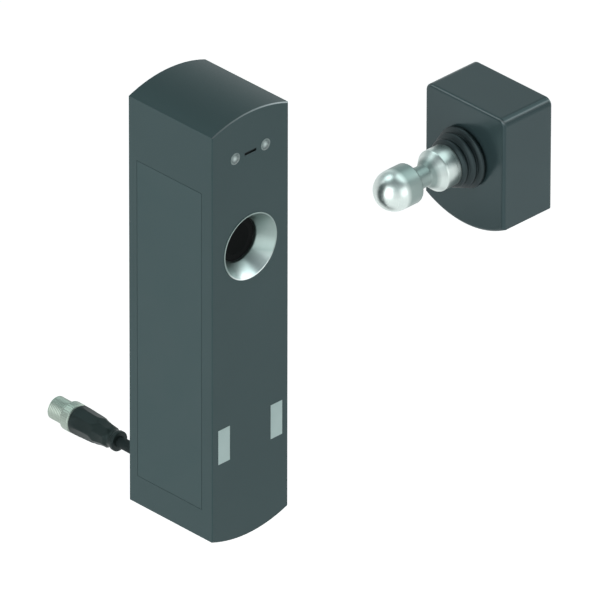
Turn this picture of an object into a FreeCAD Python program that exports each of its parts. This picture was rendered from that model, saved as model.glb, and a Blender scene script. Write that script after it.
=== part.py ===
"""A tongue interlock switch for a machine guard, with its ball-headed actuator and its plug lead.

The origin is the centre of the four mounting holes in the back cover, on the cover's outer face.
X runs to the right along the front face, Y from the front face to the back, Z up. Millimetres.
"""
import FreeCAD, Part
import math
import os
import Sketcher

Vector = FreeCAD.Vector

SIZES = {
    # housing: a box with shallow curved ends
    "housing_wide": 50.0,
    "housing_deep": 56.3,
    "side_tall": 220.6,
    "end_rise": 4.8,
    "side_wall": 4.0,
    "front_wall": 4.0,
    "rim_wall": 2.0,
    "housing_edge": 0.5,
    # clearances
    "seat_gap": 0.05,
    "slide_gap": 0.1,
    "free_gap": 0.3,
    "spin_gap": 0.08,
    # rear cover, its gasket and screws
    "cover_thick": 5.0,
    "gasket_thick": 1.0,
    "boss_radius": 3.4,
    "boss_down": 6.7,
    "boss_middle_up": 6.0,
    "screw_radius": 1.5,
    "screw_head_radius": 2.8,
    "screw_long": 12.0,
    "mount_hole_radius": 2.1,
    "mount_apart": 15.0,
    "mount_down": 35.3,
    # entry funnel on the locking axis
    "axis_up": 42.1,
    "mouth_radius": 16.7,
    "lip_wide": 0.55,
    "lip_proud": 0.3,
    "cone_deep": 8.0,
    "throat_radius": 11.3,
    "nose_wall": 2.7,
    "nose_deep": 9.5,
    "ring_thick": 1.8,
    "ring_wide": 1.2,
    # status lights and the slot between them
    "light_radius": 3.0,
    "light_apart": 9.9,
    "light_down": 17.0,
    "light_proud": 0.5,
    "light_flange": 1.0,
    "slot_wide": 7.6,
    "slot_tall": 1.4,
    "slot_deep": 0.8,
    "light_board_depth": 11.0,
    "light_board_wide": 30.0,
    "light_board_tall": 13.0,
    "led_radius": 2.4,
    "led_long": 5.0,
    # pale windows low on the face
    "window_wide": 7.6,
    "window_tall": 18.6,
    "window_side": 7.75,
    "window_up": 50.55,
    "window_thick": 2.0,
    # blank panel let into the left side
    "panel_front": 7.2,
    "panel_back": 5.3,
    "panel_top": 32.7,
    "panel_bottom": 15.3,
    "panel_line": 0.2,
    "panel_deep": 0.3,
    # receiver block behind the funnel
    "receiver_side": 0.4,
    "receiver_tall": 52.0,
    "receiver_deep": 39.5,
    "receiver_back": 3.0,
    "post_side": 4.6,
    "post_up": 22.0,
    "rod_radius": 1.5,
    "rod_side": 1.1,
    "rod_socket": 1.5,
    # ejector that the ball pushes in
    "ejector_thick": 3.0,
    "arm_wide": 6.0,
    "cup_radius": 4.0,
    "cup_wall": 0.6,
    "cup_forward": 3.6,
    "cup_floor": 1.5,
    "pad_radius": 8.0,
    "pad_thick": 1.0,
    "ejector_spring_radius": 3.1,
    "ejector_spring_wire": 0.7,
    # locking blade and its solenoid
    "blade_wide": 17.0,
    "blade_thick": 5.5,
    "blade_behind": 1.2,
    "blade_below": 0.4,
    "blade_lift": 8.0,
    "blade_corner": 3.4,
    "blade_tall": 22.0,
    "notch_radius": 5.8,
    "tail_wide": 8.0,
    "tail_tall": 7.7,
    "armature_radius": 5.5,
    "armature_tall": 39.0,
    "link_pin_radius": 1.25,
    "stem_radius": 2.0,
    "stem_tall": 24.0,
    "stem_washer_radius": 5.0,
    "stem_washer_thick": 1.0,
    "yoke_wide": 30.0,
    "yoke_tall": 44.0,
    "yoke_plate": 2.5,
    "yoke_below": 7.0,
    "bobbin_flange": 12.3,
    "bobbin_wall": 1.0,
    "coil_radius": 11.8,
    "lock_spring_wire": 0.6,
    # electronics
    "board_thick": 1.6,
    "board_wide": 34.0,
    "board_tall": 44.0,
    "board_up": 11.0,
    "board_depth": 40.0,
    "board_post_radius": 2.5,
    "board_post_inset": 3.6,
    "board_screw_radius": 1.0,
    "relay_wide": 9.6,
    "relay_tall": 24.0,
    "relay_deep": 15.0,
    "capacitor_radius": 3.5,
    "capacitor_tall": 12.0,
    "terminal_wide": 20.0,
    "terminal_tall": 8.0,
    "terminal_deep": 7.0,
    "terminal_apart": 4.0,
    "terminal_screw_deep": 2.0,
    "sensor_wide": 12.0,
    "sensor_tall": 7.0,
    "sensor_deep": 20.0,
    "reader_coil_wide": 3.2,
    # cable outlet
    "cable_up": 7.3,
    "cable_radius": 2.85,
    "cable_seat": 2.5,
    "plug_seat": 2.0,
    "gland_radius": 4.4,
    "gland_flange_radius": 5.5,
    "gland_flange_thick": 1.5,
    "gland_tail": 3.0,
    "gland_taper": 0.5,
    # moulded plug on the lead
    "thread_radius": 6.0,
    "thread_long": 9.8,
    "collar_radius": 7.5,
    "collar_long": 5.6,
    "grip_long": 28.6,
    "grip_front_radius": 7.4,
    "grip_shoulder": 12.5,
    "grip_shoulder_radius": 6.6,
    "grip_rise": 1.5,
    "grip_back_radius": 5.8,
    "grip_neck_radius": 4.5,
    "grip_ring_radius": 5.2,
    "grip_ring_long": 2.3,
    "grip_neck_long": 2.6,
    "carrier_radius": 4.5,
    "carrier_long": 7.9,
    "pin_radius": 0.5,
    "pin_long": 6.5,
    "pin_circle": 2.5,
    "knurl_deep": 0.5,
    "knurl_wide": 0.9,
    "flat_deep": 0.5,
    # actuator: ball stud, boot and block
    "ball_aside": 85.5,
    "ball_forward": 9.5,
    "ball_radius": 10.3,
    "ball_straight": 9.7,
    "neck_radius": 5.5,
    "neck_end": 20.0,
    "shoulder_end": 26.0,
    "stud_collar_radius": 10.5,
    "stud_collar_end": 34.8,
    "stud_edge": 0.9,
    "boot_end": 46.6,
    "boot_small_ridge": 12.3,
    "boot_middle_ridge": 14.0,
    "boot_large_ridge": 15.6,
    "boot_wall": 1.6,
    "boot_valley": 2.0,
    "boot_crest": 1.4,
    "block_wide": 53.2,
    "block_tall": 59.7,
    "block_drop": 0.35,
    "block_rise": 7.2,
    "block_deep": 32.3,
    "block_round": 4.0,
    "block_edge": 1.5,
    "block_wall": 4.0,
    "block_front": 6.0,
    "plate_thick": 4.0,
    "plate_rim": 2.0,
    "plate_mount_apart": 14.0,
    # pivot of the stud in the block
    "pivot_radius": 7.0,
    "pivot_deep": 5.0,
    "seat_radius": 10.0,
    "seat_flange_radius": 12.5,
    "seat_flange_thick": 3.0,
    "stud_tail_radius": 4.0,
    "stud_tail_end": 18.0,
    "tail_washer_radius": 7.5,
    "tail_washer_thick": 1.2,
    "tail_nut_radius": 6.5,
    "tail_nut_thick": 3.2,
    "centring_wire": 0.9,
}

# how many of each repeated form
FLATS = 8
KNURLS = 28
TERMINALS = 5
NUT_SIDES = 6

# the lead's route behind the housing, as (y, z) in the middle plane
CABLE_ROUTE = [(-2.5, -103.0), (8.5, -103.0), (21.0, -102.95), (34.8, -102.8)]

doc = FreeCAD.newDocument("tongue_interlock")
sheet = doc.addObject("Spreadsheet::Sheet", "Sizes")
for row, (alias, number) in enumerate(SIZES.items(), start=1):
    sheet.set(f"A{row}", alias)
    sheet.set(f"B{row}", str(number))
    sheet.setAlias(f"B{row}", alias)
doc.recompute()


class Size:
    """A length: its value in millimetres, and the sheet formula that gives it."""

    def __init__(self, value, formula=None):
        self.value = float(value)
        self.formula = formula or repr(float(value))

    def combine(self, mark, other, value, swapped=False):
        first, second = (other, self) if swapped else (self, other)
        return Size(value, f"({first.formula} {mark} {second.formula})")

    def __add__(self, other):
        other = as_size(other)
        return self.combine("+", other, self.value + other.value)

    def __sub__(self, other):
        other = as_size(other)
        return self.combine("-", other, self.value - other.value)

    def __rsub__(self, other):
        return as_size(other) - self

    def __mul__(self, other):
        other = as_size(other)
        return self.combine("*", other, self.value * other.value)

    def __truediv__(self, other):
        other = as_size(other)
        return self.combine("/", other, self.value / other.value)

    def __neg__(self):
        return Size(-self.value, f"(0 - {self.formula})")

    __radd__ = __add__
    __rmul__ = __mul__


def as_size(value):
    return value if isinstance(value, Size) else Size(value)


def square_root(size):
    return Size(math.sqrt(size.value), f"sqrt({size.formula})")


class Named:
    """Every size of the sheet as an attribute."""

    def __getattr__(self, alias):
        return Size(sheet.get(alias), f"Sizes.{alias}")


S = Named()
NORMAL_SIGN = {"XY_Plane": 1, "XZ_Plane": -1, "YZ_Plane": 1}
AXIS_TURN = {
    "X": FreeCAD.Rotation(Vector(0, 1, 0), 90),
    "Y": FreeCAD.Rotation(Vector(1, 0, 0), -90),
    "Z": FreeCAD.Rotation(),
}
nodes = []


def bind(thing, path, size):
    """Set a property to a size, by the size's formula."""
    thing.setExpression(path, as_size(size).formula)


def place(thing, x, y, z):
    bind(thing, "Placement.Base.x", x)
    bind(thing, "Placement.Base.y", y)
    bind(thing, "Placement.Base.z", z)


def keep(piece, name):
    """Name a finished piece, so that it is written out."""
    piece.Label = name
    nodes.append(piece)
    return piece


def new_body(name):
    body = doc.addObject("PartDesign::Body", name)
    return keep(body, name)


def drawing_on(body, role, u=0, v=0, away=0):
    """A sketch on one of the body's own planes, moved in the plane by u and v and off it by away."""
    drawing = body.newObject("Sketcher::SketchObject", f"drawing_of_{body.Name}")
    base = next(plane for plane in body.Origin.OriginFeatures if plane.Role == role)
    drawing.AttachmentSupport = (base, [""])
    drawing.MapMode = "FlatFace"
    bind(drawing, "AttachmentOffset.Base.x", u)
    bind(drawing, "AttachmentOffset.Base.y", v)
    bind(drawing, "AttachmentOffset.Base.z", away)
    return drawing, NORMAL_SIGN[role]


def facing_front(body, y, x=0, z=0):
    """A sketch parallel to the front face at depth y, with its own origin at x and z."""
    return drawing_on(body, "XZ_Plane", x, z, -as_size(y))


def facing_side(body, x=0, y=0, z=0):
    """A sketch parallel to the side face at x, with its own origin at y and z."""
    return drawing_on(body, "YZ_Plane", y, z, x)


def facing_up(body, z, x=0, y=0):
    """A level sketch at height z."""
    return drawing_on(body, "XY_Plane", x, y, z)


def fix(drawing, index, point, u, v):
    """Hold a point of the sketch at u and v."""
    for kind, size in (("DistanceX", u), ("DistanceY", v)):
        size = as_size(size)
        number = drawing.addConstraint(Sketcher.Constraint(kind, -1, 1, index, point, size.value))
        bind(drawing, f"Constraints[{number}]", size)


def circles(drawing, radius, centres):
    """Equal circles at the given centres."""
    radius = as_size(radius)
    for u, v in centres:
        centre = Vector(as_size(u).value, as_size(v).value, 0)
        index = drawing[0].addGeometry(Part.Circle(centre, Vector(0, 0, 1), radius.value))
        fix(drawing[0], index, 3, u, v)
        number = drawing[0].addConstraint(Sketcher.Constraint("Radius", index, radius.value))
        bind(drawing[0], f"Constraints[{number}]", radius)
    return drawing


def arc_between(start, end, radius):
    """The short arc from start to end. A positive radius bulges to the right of the way along."""
    chord = end - start
    right = Vector(chord.y, -chord.x, 0).normalize()
    reach = math.sqrt(radius * radius - chord.Length**2 / 4)
    centre = (start + end) * 0.5 - right * math.copysign(reach, radius)
    angles = [math.atan2(point.y - centre.y, point.x - centre.x) for point in (start, end)]
    if radius < 0:
        angles.reverse()
    circle = Part.Circle(centre, Vector(0, 0, 1), abs(radius))
    return Part.ArcOfCircle(circle, *angles)


def outline(drawing, corners):
    """A closed outline through corners (u, v), or (u, v, radius) where an arc leads to the next one."""
    sketch = drawing[0]
    ends = []
    places = [Vector(as_size(corner[0]).value, as_size(corner[1]).value, 0) for corner in corners]
    for number, corner in enumerate(corners):
        start, end = places[number], places[(number + 1) % len(corners)]
        if len(corner) == 2:
            index = sketch.addGeometry(Part.LineSegment(start, end))
            ends.append((index, 1, 2))
            continue
        radius = as_size(corner[2])
        index = sketch.addGeometry(arc_between(start, end, radius.value))
        ends.append((index, 1, 2) if radius.value > 0 else (index, 2, 1))
        number = sketch.addConstraint(Sketcher.Constraint("Radius", index, abs(radius.value)))
        bind(sketch, f"Constraints[{number}]", radius if radius.value > 0 else -radius)
    for number, (index, first, last) in enumerate(ends):
        after, after_first, _ = ends[(number + 1) % len(ends)]
        sketch.addConstraint(Sketcher.Constraint("Coincident", index, last, after, after_first))
        fix(sketch, index, first, corners[number][0], corners[number][1])
    return drawing


def rectangle(drawing, u, v):
    """A rectangle from low to high along u and v, each given as a pair."""
    return outline(drawing, [(u[0], v[0]), (u[1], v[0]), (u[1], v[1]), (u[0], v[1])])


def solid_feature(body, kind, drawing, length, reverse):
    feature = body.newObject(f"PartDesign::{kind}", f"{kind.lower()}_of_{body.Name}")
    feature.Profile = drawing[0]
    feature.Reversed = reverse
    bind(feature, "Length", length)
    return feature


def pad(body, drawing, length, way=1):
    """Grow the sketch along the axis that it faces: way 1 is towards plus, -1 towards minus."""
    return solid_feature(body, "Pad", drawing, length, way * drawing[1] < 0)


def pocket(body, drawing, length, way=1):
    """Cut the sketch along the axis that it faces: way 1 is towards plus, -1 towards minus."""
    return solid_feature(body, "Pocket", drawing, length, way * drawing[1] > 0)


def revolve(body, drawing, kind="Revolution"):
    """Turn the sketch a full turn about its own level axis."""
    feature = body.newObject(f"PartDesign::{kind}", f"{kind.lower()}_of_{body.Name}")
    feature.Profile = drawing[0]
    feature.ReferenceAxis = (drawing[0], ["H_Axis"])
    feature.Angle = 360
    return feature


def dress_edges(body, feature, kind, path, size, chosen):
    """Round or bevel the edges of the last feature that the test chooses."""
    doc.recompute()
    names = [f"Edge{n}" for n, edge in enumerate(feature.Shape.Edges, start=1) if chosen(edge)]
    dressed = body.newObject(f"PartDesign::{kind}", f"{kind.lower()}_of_{body.Name}")
    dressed.Base = (feature, names)
    bind(dressed, path, size)
    return dressed


def repeat_round(body, feature, drawing, axis, count):
    """Repeat a cut evenly round an axis of its sketch."""
    pattern = body.newObject("PartDesign::PolarPattern", f"pattern_of_{body.Name}")
    pattern.Originals = [feature]
    pattern.Axis = (drawing[0], [axis])
    pattern.Angle = 360
    pattern.Occurrences = count
    body.Tip = pattern
    return pattern


def box(x, y, z):
    """A box from low to high along each axis, each given as a pair."""
    piece = doc.addObject("Part::Box", "box")
    for path, (low, high) in (("Length", x), ("Width", y), ("Height", z)):
        bind(piece, path, as_size(high) - low)
    place(piece, x[0], y[0], z[0])
    return piece


def cylinder(radius, axis, start, length):
    """A cylinder from the point start along an axis."""
    piece = doc.addObject("Part::Cylinder", "cylinder")
    piece.Placement = FreeCAD.Placement(Vector(), AXIS_TURN[axis])
    bind(piece, "Radius", radius)
    bind(piece, "Height", length)
    place(piece, *start)
    return piece


def tube(outer, inner, axis, start, length):
    """A cylinder with a round hole right through it."""
    return cut(cylinder(outer, axis, start, length), [cylinder(inner, axis, start, length)])


def countersunk_screw(axis, head_start, shank_start):
    """A screw along the axis, whose shank and flat head start at two points and end together."""
    head = doc.addObject("Part::Cone", "head")
    head.Placement = FreeCAD.Placement(Vector(), AXIS_TURN[axis])
    bind(head, "Radius1", S.screw_radius)
    bind(head, "Radius2", S.screw_head_radius)
    bind(head, "Height", head_tall)
    place(head, *head_start)
    return fuse([head, cylinder(S.screw_radius, axis, shank_start, S.screw_long)])


def fuse(pieces):
    piece = doc.addObject("Part::MultiFuse", "fused")
    piece.Shapes = pieces
    return piece


def cut(base, tools):
    piece = doc.addObject("Part::Cut", "cut")
    piece.Base = base
    piece.Tool = tools[0] if len(tools) == 1 else fuse(tools)
    return piece


def group(pieces):
    piece = doc.addObject("Part::Compound", "group")
    piece.Links = pieces
    return piece


def corners_of(u, v):
    """The four places at plus and minus u and v."""
    return [(side * as_size(u), end * as_size(v)) for side in (-1, 1) for end in (-1, 1)]


# places that several pieces share
front = -S.housing_deep
inner_front = front + S.front_wall
half_wide = S.housing_wide / 2
half_tall = S.side_tall / 2
end_radius = (half_wide * half_wide + S.end_rise * S.end_rise) / (2 * S.end_rise)
end_centre = half_tall + S.end_rise - end_radius
light_up = half_tall - S.light_down
window_z = S.window_up - half_tall
cover_inner = -S.cover_thick
nose_end = front + S.nose_deep
cable_z = S.cable_up - half_tall
boss_up = half_tall - S.boss_down
mount_up = half_tall - S.mount_down
inner_half = half_wide - S.side_wall
window_apart = half_wide - S.window_side
head_tall = S.screw_head_radius - S.screw_radius
barrel_radius = S.mouth_radius + S.lip_wide
SAME = 0.01


def end_shape(drawing, inset):
    """The housing's outline, drawn in by an even inset: straight sides and curved ends."""
    side = half_wide - inset
    radius = end_radius - inset
    corner = end_centre + square_root(radius * radius - side * side)
    return outline(
        drawing,
        [(-side, -corner, radius), (side, -corner), (side, corner, radius), (-side, corner)],
    )


# rods that guide the ejector, on one diagonal of the locking axis, and posts on the other
half_root = math.sqrt(0.5)
rod_across = inner_half - S.cup_radius - S.rod_side
rod_places = [(-rod_across, rod_across), (rod_across, -rod_across)]
post_across = inner_half - S.post_side
post_places = [(post_across, S.post_up), (-post_across, -S.post_up)]


def diagonal_bar(drawing, wide):
    """A bar along the rods' diagonal, as long as their circle and as wide as given."""
    near = rod_across - half_root * wide / 2
    far = rod_across + half_root * wide / 2
    return outline(drawing, [(-near, far), (-far, near), (near, -far), (far, -near)])


def screw_places():
    """Where the rear cover's screws stand."""
    across = inner_half - S.boss_radius - S.free_gap
    return corners_of(across, boss_up) + [(-across, S.boss_middle_up), (across, S.boss_middle_up)]


board_low = S.board_up - half_tall
board_high = board_low + S.board_tall
board_front = front + S.board_depth
light_board_front = front + S.light_board_depth
light_board_posts = [(0, light_up - S.light_board_tall / 4), (0, light_up + S.light_board_tall / 4)]


def board_post_places():
    across = S.board_wide / 2 - S.board_post_inset
    low = board_low + S.board_post_inset
    high = board_high - S.board_post_inset
    return [(side * across, up) for side in (-1, 1) for up in (low, high)]


def make_housing():
    """The cast shell: curved ends, open back with a ledge for the cover, bosses and posts inside."""
    body = new_body("housing")
    shell = pad(body, end_shape(facing_front(body, 0), 0), S.housing_deep, way=-1)

    def on_front_rim(edge):
        return all(abs(y - front.value) < SAME for y in (edge.BoundBox.YMin, edge.BoundBox.YMax))

    dress_edges(body, shell, "Chamfer", "Size", S.housing_edge, on_front_rim)
    pocket(body, end_shape(facing_front(body, 0), S.rim_wall), S.cover_thick + S.gasket_thick, way=-1)
    pocket(body, end_shape(facing_front(body, 0), S.side_wall), S.housing_deep - S.front_wall, way=-1)
    column = circles(facing_front(body, inner_front), S.boss_radius, screw_places())
    pad(body, column, cover_inner - inner_front)
    holes = circles(facing_front(body, cover_inner), S.screw_radius + S.seat_gap, screw_places())
    pocket(body, holes, S.screw_long - S.cover_thick + S.free_gap, way=-1)
    posts = circles(facing_front(body, inner_front, z=S.axis_up), S.boss_radius, post_places)
    pad(body, posts, nose_end - inner_front)
    holes = circles(facing_front(body, nose_end, z=S.axis_up), S.screw_radius + S.seat_gap, post_places)
    pocket(body, holes, S.nose_deep - S.front_wall + S.rod_socket, way=-1)
    sockets = circles(facing_front(body, inner_front, z=S.axis_up), S.rod_radius + S.seat_gap, rod_places)
    pocket(body, sockets, S.rod_socket, way=-1)
    posts = circles(facing_front(body, inner_front), S.board_post_radius, board_post_places())
    pad(body, posts, S.board_depth - S.front_wall)
    holes = circles(facing_front(body, board_front), S.board_screw_radius, board_post_places())
    pocket(body, holes, S.screw_long / 2, way=-1)
    posts = circles(facing_front(body, inner_front), S.board_post_radius, light_board_posts)
    pad(body, posts, S.light_board_depth - S.front_wall)
    holes = circles(facing_front(body, light_board_front), S.board_screw_radius, light_board_posts)
    pocket(body, holes, S.screw_long / 2, way=-1)
    mouth = circles(facing_front(body, front, z=S.axis_up), barrel_radius + S.seat_gap, [(0, 0)])
    pocket(body, mouth, S.front_wall)
    lights = [(-S.light_apart, 0), (S.light_apart, 0)]
    holes = circles(facing_front(body, front, z=light_up), S.light_radius + S.seat_gap, lights)
    pocket(body, holes, S.front_wall)
    across = S.slot_wide / 2
    up = S.slot_tall / 2
    slot = rectangle(facing_front(body, front, z=light_up), (-across, across), (-up, up))
    pocket(body, slot, S.slot_deep)
    for side in (-1, 1):
        recess = facing_front(body, front, x=side * window_apart, z=window_z)
        across = S.window_wide / 2 + S.seat_gap
        up = S.window_tall / 2 + S.seat_gap
        pocket(body, rectangle(recess, (-across, across), (-up, up)), S.window_thick)
    recess = facing_side(body, x=-half_wide)
    along = (front + S.panel_front, -S.panel_back)
    up = (S.panel_bottom - half_tall, half_tall - S.panel_top)
    pocket(body, rectangle(recess, along, up), S.panel_deep)


def make_side_panel():
    """The blank panel let into the left side, with a narrow line left open round it."""
    body = new_body("side_panel")
    along = (front + S.panel_front + S.panel_line, -S.panel_back - S.panel_line)
    up = (S.panel_bottom - half_tall + S.panel_line, half_tall - S.panel_top - S.panel_line)
    panel = rectangle(facing_side(body, x=S.panel_deep - half_wide), along, up)
    pad(body, panel, S.panel_deep, way=-1)


def make_rear_cover():
    """The thick back plate with the four mounting holes, the screw seats and the cable outlet."""
    body = new_body("rear_cover")
    pad(body, end_shape(facing_front(body, 0), S.rim_wall + S.slide_gap), S.cover_thick, way=-1)
    mounts = circles(facing_front(body, 0), S.mount_hole_radius, corners_of(S.mount_apart, mount_up))
    pocket(body, mounts, S.cover_thick, way=-1)
    shanks = circles(facing_front(body, 0), S.screw_radius + S.seat_gap, screw_places())
    pocket(body, shanks, S.cover_thick, way=-1)
    for x, z in screw_places():
        profile = facing_side(body, x=x, z=z)
        outline(
            profile,
            [
                (0, 0),
                (0, S.screw_head_radius + S.seat_gap),
                (-head_tall - S.seat_gap, S.screw_radius),
                (-head_tall, 0),
            ],
        )
        revolve(body, profile, "Groove")
    outlet = circles(facing_front(body, 0, z=cable_z), S.gland_radius + S.seat_gap, [(0, 0)])
    pocket(body, outlet, S.cover_thick, way=-1)
    flange = circles(facing_front(body, 0, z=cable_z), S.gland_flange_radius + S.seat_gap, [(0, 0)])
    pocket(body, flange, S.gland_flange_thick, way=-1)


def make_cover_gasket():
    """The flat rubber ring between the ledge and the cover."""
    body = new_body("cover_gasket")
    outer = end_shape(facing_front(body, cover_inner), S.rim_wall + S.slide_gap)
    pad(body, outer, S.gasket_thick, way=-1)
    pocket(body, end_shape(facing_front(body, cover_inner), S.side_wall), S.gasket_thick, way=-1)


def make_cover_screws():
    screws = [
        countersunk_screw("Y", (x, -head_tall, z), (x, -S.screw_long, z)) for x, z in screw_places()
    ]
    keep(group(screws), "cover_screws")


def make_entry_funnel():
    """The turned steel funnel: a thin lip on the face, a cone and a nose that opens to the receiver."""
    body = new_body("entry_funnel")
    ring_end = inner_front + S.ring_thick
    profile = facing_side(body, z=S.axis_up)
    outline(
        profile,
        [
            (front - S.lip_proud, S.mouth_radius),
            (front - S.lip_proud, barrel_radius),
            (ring_end, barrel_radius),
            (ring_end, S.throat_radius + S.nose_wall),
            (nose_end, S.throat_radius + S.nose_wall),
            (nose_end, S.throat_radius),
            (front + S.cone_deep, S.throat_radius),
        ],
    )
    revolve(body, profile)


def make_funnel_ring():
    """The ring screwed on the funnel's barrel from behind."""
    start = (0, inner_front, S.axis_up)
    ring = tube(barrel_radius + S.ring_wide, barrel_radius + S.seat_gap, "Y", start, S.ring_thick)
    keep(ring, "funnel_ring")


def make_status_light(name, side):
    """A domed lens pushed in from behind until its flange seats on the wall."""
    body = new_body(name)
    profile = facing_side(body, x=side * S.light_apart, z=light_up)
    dome = (S.light_radius * S.light_radius / S.light_proud + S.light_proud) / 2
    outline(
        profile,
        [
            (front - S.light_proud, 0, -dome),
            (front, S.light_radius),
            (inner_front, S.light_radius),
            (inner_front, S.light_radius + S.light_flange),
            (inner_front + S.light_flange, S.light_radius + S.light_flange),
            (inner_front + S.light_flange, 0),
        ],
    )
    revolve(body, profile)


def make_light_board():
    """The small board behind the lenses, its light sources and its screws."""
    half = S.light_board_wide / 2
    high = S.light_board_tall / 2
    back = light_board_front + S.board_thick
    board = box((-half, half), (light_board_front, back), (light_up - high, light_up + high))
    holes = [
        cylinder(S.board_screw_radius, "Y", (x, light_board_front, z), S.board_thick)
        for x, z in light_board_posts
    ]
    keep(cut(board, holes), "light_board")
    sources = []
    for side in (-1, 1):
        start = (side * S.light_apart, light_board_front - S.led_long, light_up)
        sources.append(cylinder(S.led_radius, "Y", start, S.led_long))
    keep(group(sources), "light_sources")
    keep(pan_screws(light_board_posts, back), "light_board_screws")


def pan_screws(places, seat):
    """Small round-headed screws whose heads lie on a seat and whose shanks point to the front."""
    screws = []
    long = S.screw_long / 2 + S.board_thick - S.free_gap
    for x, z in places:
        head = cylinder(2 * S.board_screw_radius, "Y", (x, seat, z), S.board_screw_radius)
        shank = cylinder(S.board_screw_radius - S.seat_gap, "Y", (x, seat - long, z), long)
        screws.append(fuse([head, shank]))
    return group(screws)


def make_window(name, side):
    """A pale insert flush with the face."""
    middle = side * window_apart
    half = S.window_wide / 2
    high = S.window_tall / 2
    y = (front, front + S.window_thick)
    keep(box((middle - half, middle + half), y, (window_z - high, window_z + high)), name)


def make_receiver():
    """The block behind the funnel: bore for the ball, channels for the ejector, slot for the blade."""
    body = new_body("receiver_block")
    half = inner_half - S.receiver_side
    high = S.receiver_tall / 2
    face = rectangle(facing_front(body, nose_end, z=S.axis_up), (-half, half), (-high, high))
    pad(body, face, S.receiver_deep)
    run = S.receiver_deep - S.receiver_back
    pocket(body, circles(facing_front(body, nose_end, z=S.axis_up), S.throat_radius, [(0, 0)]), run)
    bar = diagonal_bar(facing_front(body, nose_end, z=S.axis_up), S.arm_wide + 2 * S.free_gap)
    pocket(body, bar, run)
    channel = S.cup_radius + S.free_gap
    pocket(body, circles(facing_front(body, nose_end, z=S.axis_up), channel, rod_places), run)
    rods = circles(facing_front(body, nose_end, z=S.axis_up), S.rod_radius + S.seat_gap, rod_places)
    pocket(body, rods, S.receiver_deep)
    screws = circles(facing_front(body, nose_end, z=S.axis_up), S.screw_radius + S.seat_gap, post_places)
    pocket(body, screws, S.receiver_deep)
    across = S.blade_wide / 2 + S.slide_gap
    slot = facing_up(body, S.axis_up - high)
    rectangle(slot, (-across, across), (blade_front - S.slide_gap, blade_back + S.slide_gap))
    pocket(body, slot, high)


def make_receiver_screws():
    """Two long screws through the block into the posts."""
    long = S.receiver_deep + S.nose_deep - S.front_wall
    back = nose_end + S.receiver_deep
    screws = []
    for x, z in post_places:
        head = cylinder(S.screw_head_radius, "Y", (x, back, S.axis_up + z), S.screw_radius)
        shank = cylinder(S.screw_radius, "Y", (x, back - long, S.axis_up + z), long)
        screws.append(fuse([head, shank]))
    keep(group(screws), "receiver_screws")


ejector_face = nose_end + S.slide_gap
ejector_back = ejector_face + S.ejector_thick
blade_front = ejector_back + S.blade_behind
blade_back = blade_front + S.blade_thick
blade_middle = (blade_front + blade_back) / 2
receiver_inner = nose_end + S.receiver_deep - S.receiver_back
cup_front = ejector_face - S.cup_forward


def make_guide_rods():
    start = inner_front - S.rod_socket
    rods = [
        cylinder(S.rod_radius, "Y", (x, start, S.axis_up + z), nose_end + S.receiver_deep - start)
        for x, z in rod_places
    ]
    keep(group(rods), "guide_rods")


def make_ejector():
    """The plate that the ball pushes in, with a spring cup on each of its two arms."""
    body = new_body("ejector")

    def facing_axis(y):
        return facing_front(body, y, z=S.axis_up)

    pad(body, circles(facing_axis(ejector_face), S.throat_radius - S.slide_gap, [(0, 0)]), S.ejector_thick)
    pad(body, diagonal_bar(facing_axis(ejector_face), S.arm_wide), S.ejector_thick)
    cup_long = S.cup_forward + S.ejector_thick
    pad(body, circles(facing_axis(cup_front), S.cup_radius, rod_places), cup_long)
    inside = circles(facing_axis(cup_front + S.cup_floor), S.cup_radius - S.cup_wall, rod_places)
    pocket(body, inside, cup_long - S.cup_floor)
    hole = circles(facing_axis(cup_front), S.rod_radius + S.slide_gap, rod_places)
    pocket(body, hole, S.cup_floor)
    seat = circles(facing_axis(ejector_face), S.pad_radius + S.seat_gap, [(0, 0)])
    pocket(body, seat, S.pad_thick)


def make_ejector_pad():
    pad_piece = cylinder(S.pad_radius, "Y", (0, ejector_face, S.axis_up), S.pad_thick)
    keep(pad_piece, "ejector_pad")


def make_ejector_springs():
    """Two long springs that push the ejector back out, each a sleeve as thick as its wire."""
    start = cup_front + S.cup_floor
    inner = S.ejector_spring_radius - S.ejector_spring_wire
    for name, (x, z) in zip(("ejector_spring_left", "ejector_spring_right"), rod_places):
        place_of_end = (x, start, S.axis_up + z)
        keep(tube(S.ejector_spring_radius, inner, "Y", place_of_end, receiver_inner - start), name)


blade_top = S.axis_up - S.throat_radius - S.blade_below
blade_low = blade_top - S.blade_tall
tail_low = blade_low - S.tail_tall
link_z = tail_low + S.tail_tall / 4
armature_top = tail_low + S.tail_tall / 2
armature_low = armature_top - S.armature_tall
yoke_top = armature_top - S.yoke_below
yoke_low = yoke_top - S.yoke_tall
stem_low = armature_low - S.stem_tall


# how far the locked blade's top edge lies below the locking axis
notch_below = S.throat_radius + S.blade_below - S.blade_lift


def make_lock_blade():
    """The blade that rises behind the ball, with a notch for the neck and a narrow tail."""
    body = new_body("lock_blade")
    half_notch = square_root(S.notch_radius * S.notch_radius - notch_below * notch_below)
    half = S.blade_wide / 2
    tail = S.tail_wide / 2
    profile = facing_front(body, blade_front)
    outline(
        profile,
        [
            (-half, blade_low),
            (-tail, blade_low),
            (-tail, tail_low),
            (tail, tail_low),
            (tail, blade_low),
            (half, blade_low),
            (half, blade_top - S.blade_corner),
            (half - S.blade_corner, blade_top),
            (half_notch, blade_top, -S.notch_radius),
            (-half_notch, blade_top),
            (S.blade_corner - half, blade_top),
            (-half, blade_top - S.blade_corner),
        ],
    )
    pad(body, profile, S.blade_thick)
    hole = circles(facing_front(body, blade_front, z=link_z), S.link_pin_radius + S.seat_gap, [(0, 0)])
    pocket(body, hole, S.blade_thick)


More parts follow.
